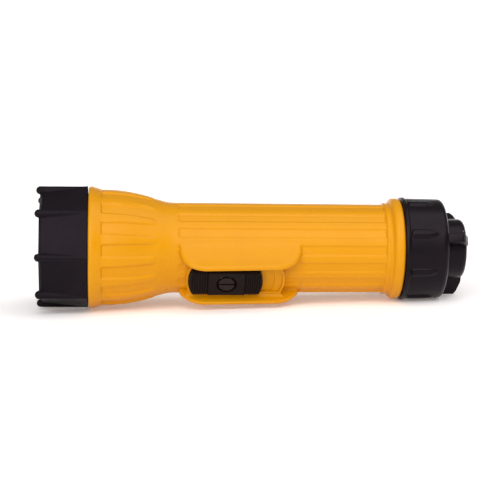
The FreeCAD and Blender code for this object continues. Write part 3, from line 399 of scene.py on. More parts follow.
def edge_depth(station, height):
    """How far a point of a guard's face lies inside the guard's side outline."""
    crown = guard_top(np.clip(station, GUARD_FRONT + GUARD_CORNER, GUARD_REAR - GUARD_CORNER))
    ahead = np.minimum(station - GUARD_FRONT, GUARD_REAR - station)
    below = crown - height
    from_centre = np.hypot(np.maximum(GUARD_CORNER - ahead, 0), np.maximum(GUARD_CORNER - below, 0))
    corner = GUARD_CORNER - from_centre
    in_corner = (ahead < GUARD_CORNER) & (below < GUARD_CORNER)
    return np.maximum(np.where(in_corner, corner, np.minimum(ahead, below)), 0.0)


def round_off(depth, radius):
    """How far a face falls back at a depth inside a rounded edge: r - sqrt(r^2 - (r - depth)^2)."""
    left = np.clip(radius - depth, 0.0, radius)
    return radius - np.sqrt(radius ** 2 - left ** 2)


def half_section(stations, bases, lips, floors):
    """One side of the guard's cross-section for every row, from its root inwards to the slot's edge.

    Up the hollow outer face, over the crest, down the inner face, through a fillet to the deck,
    over the pocket's lip and down to its floor. Returns across and height, one row of each per station."""
    along = stations[:, None]
    tops = guard_top(along)
    half_way = (GUARD_OUTSIDE + 1.1, (GUARD_FOOT + GUARD_HEIGHT) / 2 - 1.0)
    face = circle_through((GUARD_ROOT, GUARD_FOOT), half_way, (GUARD_OUTSIDE + 0.05, GUARD_HEIGHT), 60)
    rise = np.sin(math.pi / 2 * np.linspace(0, 1, 22))[None, :]
    face_z = GUARD_FOOT + rise * (tops - GUARD_FOOT)
    fall_back = round_off(edge_depth(along, face_z), OUTER_ROUND)
    above_foot = np.clip((face_z - GUARD_FOOT) / OUTER_ROUND, 0, 1)
    face_y = np.interp(face_z, face[:, 1], face[:, 0]) - fall_back * above_foot
    base = bases[:, None]
    corner = np.minimum(base + GUARD_FILLET, tops - 0.3)
    drop = (1 - np.cos(math.pi / 2 * np.linspace(0, 1, 9)))[None, :]
    inner_z = tops + drop * (corner - tops)
    inner_y = GUARD_INSIDE + round_off(edge_depth(along, inner_z), INNER_ROUND)
    crest_y = (face_y[:, -1:] + inner_y[:, :1]) / 2
    bend = math.pi / 2 * np.linspace(0, 1, 8)[None, 1:]
    fillet_y = GUARD_INSIDE - (GUARD_FILLET - 0.5) * (1 - np.cos(bend)) + 0 * base
    fillet_z = base + (corner - base) * (1 - np.sin(bend))
    lip = lips[:, None]
    floor = floors[:, None]
    rim_y = POCKET_HALF + np.array([[0.85, 0.7, 0.2, 0.0, 0.0]])
    rim_z = np.concatenate([lip - 0.05, lip, lip, lip - 0.12, floor], axis=1)
    floor_y = np.array([[6.6, 6.2, 5.8, 5.4, 5.0, 4.6, 4.1, SLOT_HALF, 3.1, 2.7, 2.3, 1.8, 1.4, 1.0, 0.5, 0.0]])
    floor_z = floor * np.ones_like(floor_y)
    ones = np.ones_like(base)
    across = np.concatenate([face_y, crest_y, inner_y, fillet_y, rim_y * ones, floor_y * ones], axis=1)
    height = np.concatenate([face_z, tops, inner_z, fillet_z, rim_z, floor_z], axis=1)
    return across, height


def thread(station, turn, pitch, front, rear):
    """A helical thread's groove, 0 to 1: it follows station / pitch less the share of a turn, and fades out."""
    phase = (station / pitch - turn / (2 * math.pi)) % 1.0
    valley = step(0.10, 0.30, phase) * (1 - step(0.70, 0.90, phase))
    return valley * step(front, front + 0.8, station) * (1 - step(rear - 0.8, rear, station))


def corner_stations(count):
    """Distances in from a guard's end, crowded towards the end as on a quarter circle."""
    return GUARD_CORNER * (1 - np.cos(np.linspace(0, math.pi / 2, count)[1:]))


def guard_stations():
    """Stations along the guards: their round corners, and the edges of the lip, pocket, shelf and slot."""
    fixed = np.array([GUARD_FRONT - 0.15, GUARD_FRONT + 0.02, LIP_FRONT - 0.08, LIP_FRONT, POCKET_FRONT,
                      POCKET_FRONT + 0.06, SLOT_FRONT, SLOT_REAR, SHELF_FRONT, SHELF_FRONT + 0.25,
                      POCKET_REAR - 0.06, POCKET_REAR, LIP_REAR, LIP_REAR + 0.08, GUARD_REAR - 0.02,
                      GUARD_REAR + 0.15, GUARD_REAR + 0.35])
    free = np.concatenate([GUARD_FRONT + corner_stations(22), GUARD_REAR - corner_stations(22)])
    free = free[(free < SLOT_FRONT - 0.2) | (free > SLOT_REAR + 0.2)]
    apart = np.abs(free[:, None] - fixed[None, :]).min(axis=1) > 0.12
    return np.unique(np.concatenate([free[apart], fixed]))


def barrel_rows():
    """Stations and profile radii of the barrel's outside; a radius of nan means that it follows the crown."""
    neck = [(NECK_FRONT, SOCKET), (NECK_FRONT, NECK - 0.32), (11.2, NECK - 0.02)]
    neck += [(station, NECK) for station in np.arange(11.5, 20.2, 0.375)]
    neck += [(20.4, NECK), (20.4, SEAL_FLOOR), (22.0, SEAL_FLOOR), (22.0, NECK), (NECK_REAR, NECK),
             (NECK_REAR, FLANGE_RADIUS)]
    flange = [25.4, 25.6, 25.9, 26.2, 26.6, 27.0, 28.4, 29.6, 30.3, 30.8, 31.1, 31.4]
    bell = np.concatenate([np.arange(32.2, 52.5, 1.15), np.arange(52.8, 66.8, 0.62)])
    grip = [130.0, 145.0, 160.0, 163.6, 164.0, 164.35]
    bead = [GRIP_REAR, 164.9, 165.3, 165.7, 166.1, 166.5, 166.9, 167.3, 167.6, 167.9, 168.2]
    rear_flange = [168.6, 169.1, 169.7, 171.1, 171.7, 172.2, 172.5, 172.78]
    on_crown = np.concatenate([flange, bell, guard_stations(), grip, bead, rear_flange])
    tube = [(172.8, TAIL_TUBE), (176.0, TAIL_TUBE), (176.0, TAIL_SEAL_FLOOR), (177.6, TAIL_SEAL_FLOOR),
            (177.6, TAIL_TUBE)]
    tube += [(station, TAIL_TUBE) for station in np.arange(177.9, 183.0, 0.4)]
    tube += [(183.0, TAIL_TUBE), (TUBE_REAR, 20.5)]
    return np.array(neck + [(station, np.nan) for station in on_crown] + tube)


def turns_by_flute(low, high):
    """Turns between two angles, crowded where a flute has its edges."""
    half = np.array([2.0, 3.8, 4.6, 5.1, 5.6, 6.1, 6.6, 7.3, 9.0])
    offsets = np.radians(np.concatenate([[-11.0], -half[::-1], [0.0], half]))
    centres = np.radians(FLUTE_PHASE + 360.0 / FLUTE_COUNT * np.arange(-20, 36))
    turns = np.sort((centres[:, None] + offsets[None, :]).ravel())
    return turns[(turns > low + 0.004) & (turns < high - 0.004)]


def outer_grid(stations, profile, root_turn, round_turns):
    """The barrel's outside as spots, across and height, and the guards' half section.

    The first columns run over the guards and the channel between their roots; the rest go round the barrel."""
    on_profile = ~np.isnan(profile)[:, None]
    in_zone = ((stations > GUARD_FRONT - 0.2) & (stations < GUARD_REAR + 0.2))[:, None]
    on_deck = (stations > LIP_FRONT - 0.01) & (stations < LIP_REAR + 0.01)
    in_pocket = (stations > POCKET_FRONT + 0.03) & (stations < POCKET_REAR - 0.03)
    lips = np.where(on_deck, DECK_HEIGHT + LIP_RISE, 0.0)
    floors = POCKET_HEIGHT + SHELF_RISE * (stations > SHELF_FRONT + 0.1)
    half_y, half_z = half_section(stations, np.where(on_deck, DECK_HEIGHT, CHANNEL_FLOOR), lips,
                                  np.where(in_pocket, floors, lips))
    section_y = np.concatenate([half_y, -half_y[:, -2::-1]], axis=1)
    section_z = np.concatenate([half_z, half_z[:, -2::-1]], axis=1)
    width = section_y.shape[1]

    crowded = np.concatenate([[-root_turn], turns_by_flute(-root_turn, root_turn), [root_turn]])
    top_turns = np.interp(np.linspace(0, 1, width), np.linspace(0, 1, len(crowded)), crowded)
    turns = np.concatenate([top_turns, round_turns])[None, :] + 0 * stations[:, None]
    spot = stations[:, None] + 0 * turns
    radius = np.where(on_profile, np.nan_to_num(profile)[:, None], barrel_radius(spot, turns))
    groove = thread(spot, turns, HEAD_PITCH, 11.4, 20.2) + thread(spot, turns, TAIL_PITCH, 177.7, 183.2)
    radius = radius - np.where(on_profile, THREAD_DEPTH * groove, 0.0)
    across = -radius * np.sin(turns)
    height = radius * np.cos(turns)

    near_front = 1 - step(2.0, 9.0, np.abs(stations - POCKET_FRONT))
    near_rear = 1 - step(2.0, 9.0, np.abs(stations - POCKET_REAR))
    bow = SLIDER_BOW * (near_front - near_rear)[:, None]
    fade = 1 - step(POCKET_HALF + 1.2, GUARD_INSIDE, np.abs(section_y))
    warped = spot[:, :width] + bow * np.minimum((section_y / POCKET_HALF) ** 2, 1.0) * fade
    lean = -np.arcsin(section_y / np.interp(warped, CROWN[:, 0], CROWN[:, 1]))
    skin_z = np.sqrt(barrel_radius(warped, lean) ** 2 - section_y ** 2)
    on_fins = np.abs(section_y) > GUARD_INSIDE - 0.01
    raised = np.where(on_fins, smooth_max(section_z, skin_z, 0.5), np.maximum(section_z, skin_z))
    across[:, :width] = np.where(in_zone, section_y, across[:, :width])
    height[:, :width] = np.where(in_zone, raised, height[:, :width])
    spot[:, :width] = np.where(in_zone, warped, spot[:, :width])
    return spot, across, height, half_y[0]


def inner_grid(root_turn, round_turns, width, wall, slot_first):
    """The barrel's inside from the tail forwards: the bore, with a flat bay over the switch and a flat gutter
    over the contacts, then the cone and the head's socket. Returns stations, across and height."""
    slot_last = width - 1 - slot_first
    rows = np.array([(TUBE_REAR, TAIL_MOUTH, 0), (183.2, BORE, 0), (BAY_REAR + 0.05, BORE, 0),
                     (BAY_REAR, BORE, 1), (SLOT_REAR, BORE, 1), (SLOT_FRONT, BORE, 1), (BAY_FRONT, BORE, 1),
                     (BAY_FRONT - 0.05, BORE, 0), (53.5, BORE, 0), (46.05, 21.4, 0), (45.0, SOCKET, 0),
                     (NECK_FRONT + 1.1, SOCKET, 0)])
    station, radius, in_bay = rows[:, 0:1], rows[:, 1:2], rows[:, 2:3] > 0
    keys = [0, wall - 1, wall, slot_first, slot_last, width - 1 - wall, width - wall, width - 1]
    across = np.stack([np.interp(np.arange(width), keys,
                                 [edge, BAY_HALF, BAY_HALF, SLOT_HALF, -SLOT_HALF, -BAY_HALF, -BAY_HALF, -edge])
                       for edge in rows[:, 1] * math.sin(root_turn)])
    plain = np.sqrt(radius ** 2 - across ** 2)
    column = np.arange(width)[None, :]
    under = (column >= wall) & (column <= width - 1 - wall) & in_bay
    gutter = (column >= slot_first) & (column <= slot_last) & (station > 53.0)
    height = np.where(under, BAY_HEIGHT, np.where(gutter, np.maximum(plain, GUTTER_HEIGHT), plain))
    across = np.concatenate([across, -radius * np.sin(round_turns)[None, :]], axis=1)
    height = np.concatenate([height, radius * np.cos(round_turns)[None, :]], axis=1)
    return station, across, height


def build_barrel():
    """The barrel's skin: one closed grid, its outside rows from front to back and its inside rows back again.

    The stem's slot is a hole through both walls: its faces are left out and its four sides are put in."""
    rows = barrel_rows()
    stations = rows[:, 0]
    root_turn = math.atan2(GUARD_ROOT, GUARD_FOOT)
    round_turns = turns_by_flute(root_turn, 2 * math.pi - root_turn)
    spot, across, height, half_y = outer_grid(stations, rows[:, 1], root_turn, round_turns)
    width = 2 * len(half_y) - 1
    columns = spot.shape[1]
    slot_first = int(np.argmin(np.abs(half_y - SLOT_HALF)))
    slot_last = width - 1 - slot_first
    wall = int(np.argmin(np.abs(half_y - BAY_HALF)))
    inner_station, inner_y, inner_z = inner_grid(root_turn, round_turns, width, wall, slot_first)

    points = np.concatenate([place(spot, across, height), place(inner_station, inner_y, inner_z)])
    faces = grid_faces(len(points), columns, around=True, along=True)
    front = int(np.argmin(np.abs(stations - SLOT_FRONT)))
    rear = len(stations) + 4
    open_rows = np.isin(faces[:, 0] // columns, [front, rear])
    open_columns = (faces[:, 0] % columns >= slot_first) & (faces[:, 0] % columns < slot_last)
    faces = faces[~(open_rows & open_columns)].tolist()
    for outer_row, inner_row in ((front, rear + 1), (front + 1, rear)):
        for index in range(slot_first, slot_last):
            faces.append([outer_row * columns + index, outer_row * columns + index + 1,
                          inner_row * columns + index + 1, inner_row * columns + index])
    for index in (slot_first, slot_last):
        faces.append([front * columns + index, (front + 1) * columns + index,
                      rear * columns + index, (rear + 1) * columns + index])
    finish_piece("barrel_skin", points, faces, "yellow_polymer", "root", ["barrel"])


# ---------------------------------------------------------------- lens ring
def ring_field(station, radius, turn):
    """How deep a point lies inside the lens ring, negative outside: a flared octagonal prism with a chamfered
    front edge, joined smoothly with eight round bars at its corners whose noses stand out in front."""
    pitch = 2 * math.pi / RING_SIDES
    from_flat = (turn - math.radians(RING_PHASE)) % pitch - pitch / 2
    from_corner = (turn - math.radians(RING_PHASE) + pitch / 2) % pitch - pitch / 2
    front = station - RING_FRONT
    corner = RING_CORNER + RING_FLARE * front / (RING_REAR - RING_FRONT)
    flats = corner * math.cos(pitch / 2) - radius * np.cos(from_flat)
    chamfer = (flats + front - RING_CHAMFER) * math.sqrt(0.5)
    prism = np.minimum(np.minimum(flats, front), chamfer)
    along = np.clip((station - NOSE_STATION) / (RING_REAR - NOSE_STATION), 0, 1)
    bar_round = RIB_ROUND - RIB_TAPER * along
    bar_station = NOSE_STATION + along * (RING_REAR - NOSE_STATION)
    outward = radius * np.cos(from_corner) - RIB_CREST + bar_round
    aside = radius * np.sin(from_corner)
    from_bar = np.sqrt((station - bar_station) ** 2 + outward ** 2 + aside ** 2)
    return smooth_max(prism, bar_round - from_bar, RING_FILLET)


def build_ring():
    """The lens ring: lines cast in each half plane through the axis find the field's zero by halving; the bore
    closes it. The lines go forward from the face, fan round the front edge and go straight out behind it."""
    face_r = np.array([23.42, 23.7, 24.0])
    fan = np.linspace(-math.pi / 2, 0, 46)
    back = np.array([4.4, 5.0, 6.0, 8.0, 11.0, 14.0, 17.0, 20.0, 22.0, 23.4, 24.2, 24.6])
    origin_s = np.concatenate([np.full(len(face_r) + len(fan), RING_FACE), back])[:, None]
    origin_r = np.concatenate([face_r, np.full(len(fan) + len(back), 24.35)])[:, None]
    cast_s = np.concatenate([-np.ones(len(face_r)), np.sin(fan), np.zeros(len(back))])[:, None]
    cast_r = np.concatenate([np.zeros(len(face_r)), np.cos(fan), np.ones(len(back))])[:, None]
    half_side = 180.0 / RING_SIDES
    offsets = np.radians(np.concatenate([np.linspace(-half_side, -6.5, 9)[:-1], np.linspace(-6.5, 6.5, 35),
                                         np.linspace(6.5, half_side, 9)[1:-1]]))
    corners = math.radians(RING_PHASE) + 2 * math.pi / RING_SIDES * np.arange(RING_SIDES)
    turns = (corners[:, None] + offsets[None, :]).ravel()[None, :]
    near = np.zeros((len(origin_s), turns.shape[1]))
    far = near + CAST_REACH
    for _ in range(HALVINGS):
        middle = (near + far) / 2
        inside = ring_field(origin_s + middle * cast_s, origin_r + middle * cast_r, turns) > 0
        near = np.where(inside, middle, near)
        far = np.where(inside, far, middle)
    station = origin_s + near * cast_s
    radius = origin_r + near * cast_r
    closing = np.array([(RING_REAR, NECK + 0.3), (24.5, NECK + 0.06), (6.4, NECK + 0.06), (6.4, APERTURE),
                        (4.4, APERTURE)])
    rear_r = radius[-1:] - 0.25
    station = np.concatenate([station, np.full_like(rear_r, RING_REAR), closing[:, 0:1] + 0 * rear_r])
    radius = np.concatenate([radius, rear_r, closing[:, 1:2] + 0 * rear_r])
    points = place(station, -radius * np.sin(turns), radius * np.cos(turns))
    faces = grid_faces(points.shape[0], points.shape[1], around=True, along=True)
    finish_piece("lens_ring_skin", points, faces, "black_ring", "lens_ring", ["lens_ring"], crease=40.0)


# ---------------------------------------------------------------- tail cap
def cap_rib(station, turn):
    """Height of the cap's grip ribs, 0 to 1: half-round bars square at the lip and pointed at the rear."""
    pitch = 2 * math.pi / CAP_RIBS
    offset = (turn - math.radians(CAP_RIB_PHASE) + pitch / 2) % pitch - pitch / 2
    side = np.abs(offset) * CAP_RADIUS / CAP_RIB_HALF
    ahead = np.maximum(station - CAP_RIB_TIP, 0.0) / CAP_RIB_NOSE
    share = np.clip(1 - side ** 2 - ahead ** 2, 0.0, 1.0)
    return np.sqrt(share) * step(CAP_RIB_START, CAP_RIB_START + 0.35, station)


def quarter(station, radius, size, count, inward=False):
    """A quarter round of the cap's profile, bending from along to down, or inward from down to along."""
    bend = np.linspace(0, math.pi / 2, count)
    if inward:
        return [(station + size * (1 - math.cos(b)), radius - size * math.sin(b)) for b in bend]
    return [(station + size * math.sin(b), radius - size * (1 - math.cos(b))) for b in bend]


def cap_rows():
    """Station and radius along the cap's outside and back along its inside, from pole to pole."""
    out = [(CAP_FRONT, 21.35), (CAP_FRONT, 24.1), (CAP_FRONT + 0.12, 24.38), (CAP_FRONT + 0.4, CAP_LIP_RADIUS),
           (174.7, CAP_LIP_RADIUS), (174.95, 24.42), (175.3, 24.05), (CAP_BODY, CAP_RADIUS)]
    body = np.concatenate([[175.8, 176.0, 176.2, 176.4, 177.0], np.arange(178.0, 183.0, 1.2),
                           np.arange(183.2, 188.4, 0.36), [189.6, 190.7]])
    taper = CAP_TAPER / (CAP_SHOULDER - CAP_BODY)
    out += [(station, CAP_RADIUS - taper * (station - CAP_BODY)) for station in body]
    out += quarter(CAP_SHOULDER, CAP_RADIUS - CAP_TAPER, CAP_ROUNDING, 12)
    out += quarter(CAP_FACE, BOSS_RADIUS + BOSS_FOOT, BOSS_FOOT, 6, inward=True)
    out += quarter(BOSS_SHOULDER, BOSS_RADIUS, BOSS_ROUNDING, 9)
    out += [(203.85, 11.42), (203.7, RECESS_RADIUS), (200.4, RECESS_RADIUS), (RECESS_FLOOR, 11.2),
            (RECESS_FLOOR, 0.0)]
    inside = [(190.8, 0.0), (190.8, CAP_BORE), (184.8, CAP_BORE), (184.8, 21.35)]
    return np.array(out), np.array(inside)


def build_cap():
    """The tail cap: a turned cup whose skin rises over the ribs, and three lugs set into its rear face."""
    out, inside = cap_rows()
    beside = np.array([7.0, 10.0, 16.0])
    over = np.linspace(-5.2, 5.2, 19)
    offsets = np.radians(np.concatenate([[-180.0 / CAP_RIBS], -beside[::-1], over, beside]))
    ribs = math.radians(CAP_RIB_PHASE) + 2 * math.pi / CAP_RIBS * np.arange(CAP_RIBS)
    turns = (ribs[:, None] + offsets[None, :]).ravel()[None, :]
    station = out[:, 0:1] + 0 * turns
    radius = out[:, 1:2] + CAP_RIB_RISE * cap_rib(station, turns)
    station = np.concatenate([station, inside[:, 0:1] + 0 * turns])
    radius = np.concatenate([radius, inside[:, 1:2] + 0 * turns])
    points = place(station, -radius * np.sin(turns), radius * np.cos(turns)).reshape(-1, 3)
    faces = grid_faces(station.shape[0], station.shape[1], around=True, along=True)
    rear = len(out) - 1
    faces = faces[faces[:, 0] // station.shape[1] != rear]
    finish_piece("tail_cap_skin", points, faces, "black_polymer", "tail_cap", ["tail_cap"], crease=38.0)
    build_lugs()


def build_lugs():
    """Three upright plates behind the cap, their outer corner cut off at a slope, all edges softened."""
    inner = BOSS_RADIUS - 1.6
    front, rear = CAP_SHOULDER + 1.3, BOSS_SHOULDER + 2.5
    outline = np.array([(front, inner), (front, LUG_REACH - 0.9), (front + 0.7, LUG_REACH), (200.4, LUG_REACH),
                        (201.8, LUG_REACH - 1.6), (rear, 15.9), (rear, inner)])
    count = len(outline)
    points, faces = [], []
    for index in range(LUGS):
        turn = math.radians(LUG_PHASE + 360 / LUGS * index)
        for side in (-LUG_HALF, LUG_HALF):
            across = -outline[:, 1] * math.sin(turn) - side * math.cos(turn)
            height = outline[:, 1] * math.cos(turn) - side * math.sin(turn)
            points.append(place(outline[:, 0], across, height))
        start = index * 2 * count
        faces.append(list(range(start, start + count)))
        faces.append(list(range(start + 2 * count - 1, start + count - 1, -1)))
        for corner in range(count):
            following = (corner + 1) % count
            faces.append([start + following, start + corner, start + count + corner, start + count + following])
    finish_piece("cap_lugs", np.concatenate(points), faces, "black_polymer", "tail_cap", [], bevel=0.45)


# ---------------------------------------------------------------- switch
def prism(outline, low, high, first):
    """A prism over an outline of (along, across) points round the button's station; faces count from first."""
    outline = np.asarray(outline)
    count = len(outline)
    points = np.concatenate([place(BUTTON_STATION + outline[:, 0], outline[:, 1], np.full(count, level))
                             for level in (low, high)])
    corner = np.arange(count)
    following = (corner + 1) % count
    sides = np.stack([corner, following, following + count, corner + count], axis=1) + first
    faces = [list(range(first + count - 1, first - 1, -1)), list(range(first + count, first + 2 * count))]
    return points, faces + sides.tolist()


def join(parts):
    """Stacks prisms into one list of points and one of faces; each part is (outline, low, high)."""
    points, faces, first = [], [], 0
    for outline, low, high in parts:
        more_points, more_faces = prism(outline, low, high, first)
        points.append(more_points)
        faces += more_faces
        first += len(more_points)
    return np.concatenate(points), faces


def box_outline(along, half_along, half_across):
    """The corners of a rectangle about a point on the slider's middle line."""
    return [(along - half_along, -half_across), (along + half_along, -half_across),
            (along + half_along, half_across), (along - half_along, half_across)]


def slider_turns():
    """Directions round the button, crowded at the ends and set on both sides of the pad's corners."""
    pad_corner = math.atan2(SLIDER_HALF, PAD_HALF)
    end_corner = math.atan2(SLIDER_HALF, SLIDER_REACH - SLIDER_BOW)
    split = 0.0008
    quarter_turns = np.unique(np.concatenate([np.linspace(0, end_corner, 11),
                                              np.linspace(end_corner, pad_corner - split, 8),
                                              np.linspace(pad_corner + split, math.pi / 2, 12)]))
    return np.concatenate([quarter_turns, (math.pi - quarter_turns[:-1])[::-1], (math.pi + quarter_turns[1:]),
                           (2 * math.pi - quarter_turns[1:-1])[::-1]])


def build_slider_body():
    """The slider's body: rings of points round the button's well, out over the pad and ends, and back below.

    Each ring's reach in a direction is the nearer of the straight side and the bowed end,
    where along = reach - bow * (across / half width)^2."""
    turns = slider_turns()
    cosine, sine = np.abs(np.cos(turns)), np.abs(np.sin(turns))
    curve = SLIDER_BOW * sine ** 2 / SLIDER_HALF ** 2
    furthest = np.where(np.cos(turns) > 0, REAR_REACH, SLIDER_REACH)
    ends = 2 * furthest / (cosine + np.sqrt(cosine ** 2 + 4 * curve * furthest))
    sides = SLIDER_HALF / np.maximum(sine, 1e-9)
    reach = np.minimum(ends, sides)
    pad_reach = np.minimum(PAD_HALF / np.maximum(cosine, 1e-9), reach)
    beyond = (pad_reach < reach - 0.001) * 1.0
    inset = SLIDER_ROUND * (1 - beyond)
    top = SLIDER_TOP - PAD_RISE * beyond
    flat = 0 * turns
    well = [(STEM_HOLE, SLIDER_LOW), (STEM_HOLE, WELL_FLOOR), (WELL_RADIUS - 0.12, WELL_FLOOR),
            (WELL_RADIUS, WELL_FLOOR + 0.15), (WELL_RADIUS, SLIDER_TOP - 0.22),
            (WELL_RADIUS + 0.07, SLIDER_TOP - 0.07), (WELL_RADIUS + 0.22, SLIDER_TOP)]
    rings = [(flat + radius, flat + level) for radius, level in well]
    rings += [(pad_reach - SLIDER_ROUND, flat + SLIDER_TOP),
              (pad_reach - 0.2 * beyond - inset, flat + SLIDER_TOP - 0.04 * beyond),
              (pad_reach - inset, top + 0.35 * beyond), (pad_reach + 0.25 * beyond - inset, top)]
    for bend in np.linspace(0, math.pi / 2, 6):
        rings.append((reach - SLIDER_ROUND * (1 - math.sin(bend)), top - SLIDER_ROUND * (1 - math.cos(bend))))
    rings += [(reach, flat + SLIDER_LOW + 0.2), (reach - 0.2, flat + SLIDER_LOW)]
    reach_grid = np.stack([ring[0] for ring in rings])
    level_grid = np.stack([ring[1] for ring in rings])
    points = place(BUTTON_STATION + reach_grid * np.cos(turns), reach_grid * np.sin(turns), level_grid)
    faces = grid_faces(len(rings), len(turns), around=True, along=True)
    finish_piece("slider_body", points, faces, "black_polymer", "switch", ["switch_slider"], look=SLIDER_BLACK_PAINTED_BOUNCE)


def build_slider_grip():
    """The bars across both ends of the slider, each as long as the bowed end leaves room for."""
    low, high = SLIDER_TOP - PAD_RISE - 0.5, SLIDER_TOP - 0.04
    bars = []
    for side, last in ((-1, SLIDER_REACH), (1, REAR_REACH)):
        for along in np.linspace(GRIP_START, last - 1.2, GRIP_BARS):
            half = min(SLIDER_HALF - 0.22, SLIDER_HALF * math.sqrt((last - 0.55 - along) / SLIDER_BOW) - 0.3)
            bars.append((box_outline(side * along, GRIP_BAR_HALF, half), low, high))
    points, faces = join(bars)
    finish_piece("slider_grip", points, faces, "black_polymer", "switch", [], bevel=0.14, look=SLIDER_BLACK_PAINTED_BOUNCE)


def build_slider_stem():
    """The two blocks that join the slider to its carriage, one at each side of the button's stem."""
    points, faces = join([(box_outline(side * 3.4, 1.6, SLOT_HALF - 0.1), 19.0, SLIDER_LOW + 0.3)
                          for side in (-1, 1)])
    finish_piece("slider_stem", points, faces, "black_polymer", "switch", [])


def build_button():
    """The signal button: a disc whose two raised halves leave a finger slot between them, on its stem."""
    round_turns = np.linspace(0, 2 * math.pi, 65)[:-1]
    disc = np.stack([np.cos(round_turns), np.sin(round_turns)], axis=1)
    start = math.asin(BUTTON_SLOT_HALF / BUTTON_RADIUS)
    arc = np.linspace(start, math.pi - start, 33)
    half_disc = np.stack([np.cos(arc), np.sin(arc)], axis=1) * BUTTON_RADIUS
    slot_floor = BUTTON_TOP - BUTTON_SLOT_DEPTH
    points, faces = join([(side * half_disc, slot_floor - 0.1, BUTTON_TOP) for side in (1, -1)])
    finish_piece("button_halves", points, faces, "black_polymer", "button", ["signal_button"], bevel=0.16,
                 look=BUTTON_BLACK_PAINTED_BOUNCE)
    points, faces = join([(disc * (BUTTON_RADIUS - 0.1), BUTTON_BASE, slot_floor),
                          (disc[::2] * BUTTON_STEM, STEM_FOOT, BUTTON_BASE + 0.2)])
    finish_piece("button_stem", points, faces, "black_polymer", "button", [])


def build_button_spring():
    """The coil under the button, a tube carried round a helix with capped ends."""
    height = BUTTON_BASE - WELL_FLOOR
    share = np.linspace(0, 1, 97)[:, None]
    ring = np.linspace(0, 2 * math.pi, 11)[:-1][None, :]
    turn = 2 * math.pi * BUTTON_SPRING_TURNS * share
    reach = BUTTON_SPRING_COIL + BUTTON_SPRING_WIRE * np.cos(ring)
    climb = WELL_FLOOR + BUTTON_SPRING_WIRE + (height - 2 * BUTTON_SPRING_WIRE) * share
    points = place(BUTTON_STATION + reach * np.cos(turn), reach * np.sin(turn),
                   climb + BUTTON_SPRING_WIRE * np.sin(ring))
    rows, columns = points.shape[:2]
    faces = grid_faces(rows, columns).tolist()
    faces += [list(range(columns)), list(range(rows * columns - 1, (rows - 1) * columns - 1, -1))]
    spring = finish_piece("button_coil", points, faces, "spring_steel", "switch", ["button_spring"])
    seat = place(BUTTON_STATION, 0.0, WELL_FLOOR).tolist()
    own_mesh(spring)


build_barrel()
build_ring()
build_cap()
build_slider_body()
build_slider_grip()
build_slider_stem()
build_button()
build_button_spring()


# ---------------------------------------------------------------- floor, light and camera
FLOOR_HALF, SWEEP_START, SWEEP_RADIUS = 2.5, 0.9, 0.2
# Painted light: the floor's faint warm glow lightens and warms the shadow under the light and lights its
# underside a little.
PAINTED_FLOOR_GLOW, PAINTED_FLOOR_GLOW_STRENGTH = (1.0, 0.86, 0.80, 1.0), 0.17
WORLD_STRENGTH = 0.24
TOP_FROM, TOP_STRENGTH, TOP_SPREAD = (0.35, -0.40, 1.0), 1.6, 64.0
FRONT_FROM, FRONT_STRENGTH, FRONT_SPREAD = (-0.35, -1.0, 0.55), 2.1, 60.0
CAMERA_DISTANCE, CAMERA_LENS = 0.827, 124.9
CAMERA_YAW, CAMERA_RISE, CAMERA_ROLL = 4.4, 7.0, 0.76
CAMERA_TARGET = (-0.0003, 0.0, -0.00105)


def rest_line():
    """The height and slope of the surface under the light: it touches the lens ring and the cap's lip."""
    ring_low, ring_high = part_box("lens_ring")
    cap_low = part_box("tail_cap")[0]
    slope = (cap_low.z - ring_low.z) / (cap_low.x + 0.6 * MM - ring_high.x)
    return ring_low.z - slope * ring_high.x, slope


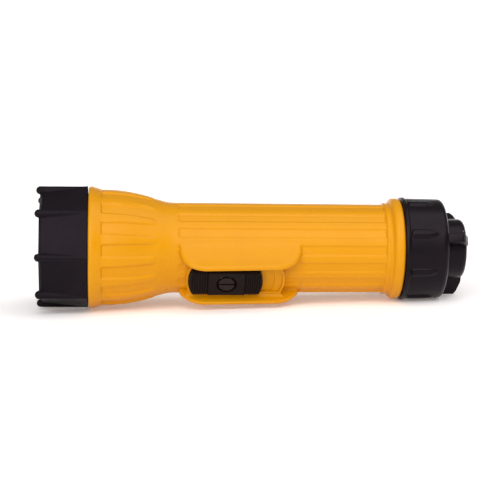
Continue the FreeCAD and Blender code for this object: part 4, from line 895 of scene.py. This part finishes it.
def build_floor():
    """A pale sheet with a faint warm glow painted into it, which lightens and warms the shadow under the light:
    flat under the light, then curving up behind it in a quarter round. Its slope along X is the rest line's."""
    height, slope = rest_line()
    bend = np.radians(np.linspace(0, 90, 25))[1:]
    back = np.concatenate([[-FLOOR_HALF, SWEEP_START], SWEEP_START + SWEEP_RADIUS * np.sin(bend),
                           [SWEEP_START + SWEEP_RADIUS]])
    rise = np.concatenate([[0.0, 0.0], SWEEP_RADIUS * (1 - np.cos(bend)), [2 * SWEEP_RADIUS]])
    across, along = np.meshgrid(np.array([-FLOOR_HALF, FLOOR_HALF]), back)
    lift = np.repeat(rise[:, None], 2, axis=1) + height + slope * across
    mesh = bpy.data.meshes.new("floor")
    mesh.from_pydata(np.stack([across, along, lift], axis=-1).reshape(-1, 3).tolist(), [],
                     grid_faces(len(back), 2, around=False).tolist())
    mesh.shade_smooth()
    floor = bpy.data.objects.new("floor", mesh)
    bpy.context.scene.collection.objects.link(floor)
    material, tree, shader = new_material("pale_floor")
    shader.inputs["Base Color"].default_value = (0.94, 0.94, 0.94, 1.0)
    shader.inputs["Roughness"].default_value = 0.6
    shader.inputs["Specular IOR Level"].default_value = 0.1
    # painted glow: a warm emission that lightens the shadow on the floor and tints it warm
    shader.inputs["Emission Color"].default_value = PAINTED_FLOOR_GLOW
    shader.inputs["Emission Strength"].default_value = PAINTED_FLOOR_GLOW_STRENGTH
    mesh.materials.append(material)


def soft_sun(name, towards, strength, spread):
    """A distant soft lamp: its light comes from a direction and is spread over a wide angle."""
    data = bpy.data.lights.new(name, "SUN")
    data.energy = strength
    data.angle = math.radians(spread)
    lamp = bpy.data.objects.new(name, data)
    lamp.rotation_euler = (-Vector(towards)).to_track_quat("-Z", "Y").to_euler()
    lamp.location = Vector(towards)
    bpy.context.scene.collection.objects.link(lamp)


def build_light():
    """Two wide soft lamps, above and in front, in a dim white surround."""
    world = bpy.data.worlds.new("studio")
    world.use_nodes = True
    background = world.node_tree.nodes["Background"]
    background.inputs["Color"].default_value = (1.0, 1.0, 1.0, 1.0)
    background.inputs["Strength"].default_value = WORLD_STRENGTH
    bpy.context.scene.world = world
    soft_sun("top_light", TOP_FROM, TOP_STRENGTH, TOP_SPREAD)
    soft_sun("front_light", FRONT_FROM, FRONT_STRENGTH, FRONT_SPREAD)


def build_camera():
    """A long lens a little above the light and a little towards its head, the view tipped by a small roll."""
    yaw = math.radians(CAMERA_YAW)
    rise = math.radians(CAMERA_RISE)
    back = Vector((-math.sin(yaw) * math.cos(rise), -math.cos(yaw) * math.cos(rise), math.sin(rise)))
    data = bpy.data.cameras.new("camera")
    data.sensor_width = 36.0
    data.lens = CAMERA_LENS
    data.clip_start = 0.01
    data.clip_end = 20.0
    camera = bpy.data.objects.new("camera", data)
    camera.location = Vector(CAMERA_TARGET) + back * CAMERA_DISTANCE
    look = (-back).to_track_quat("-Z", "Y").to_matrix()
    camera.rotation_euler = (look @ Matrix.Rotation(math.radians(CAMERA_ROLL), 3, "Z")).to_euler()
    bpy.context.scene.collection.objects.link(camera)
    bpy.context.scene.camera = camera


build_floor()
build_light()
build_camera()
bpy.context.scene.view_settings.view_transform = "Standard"
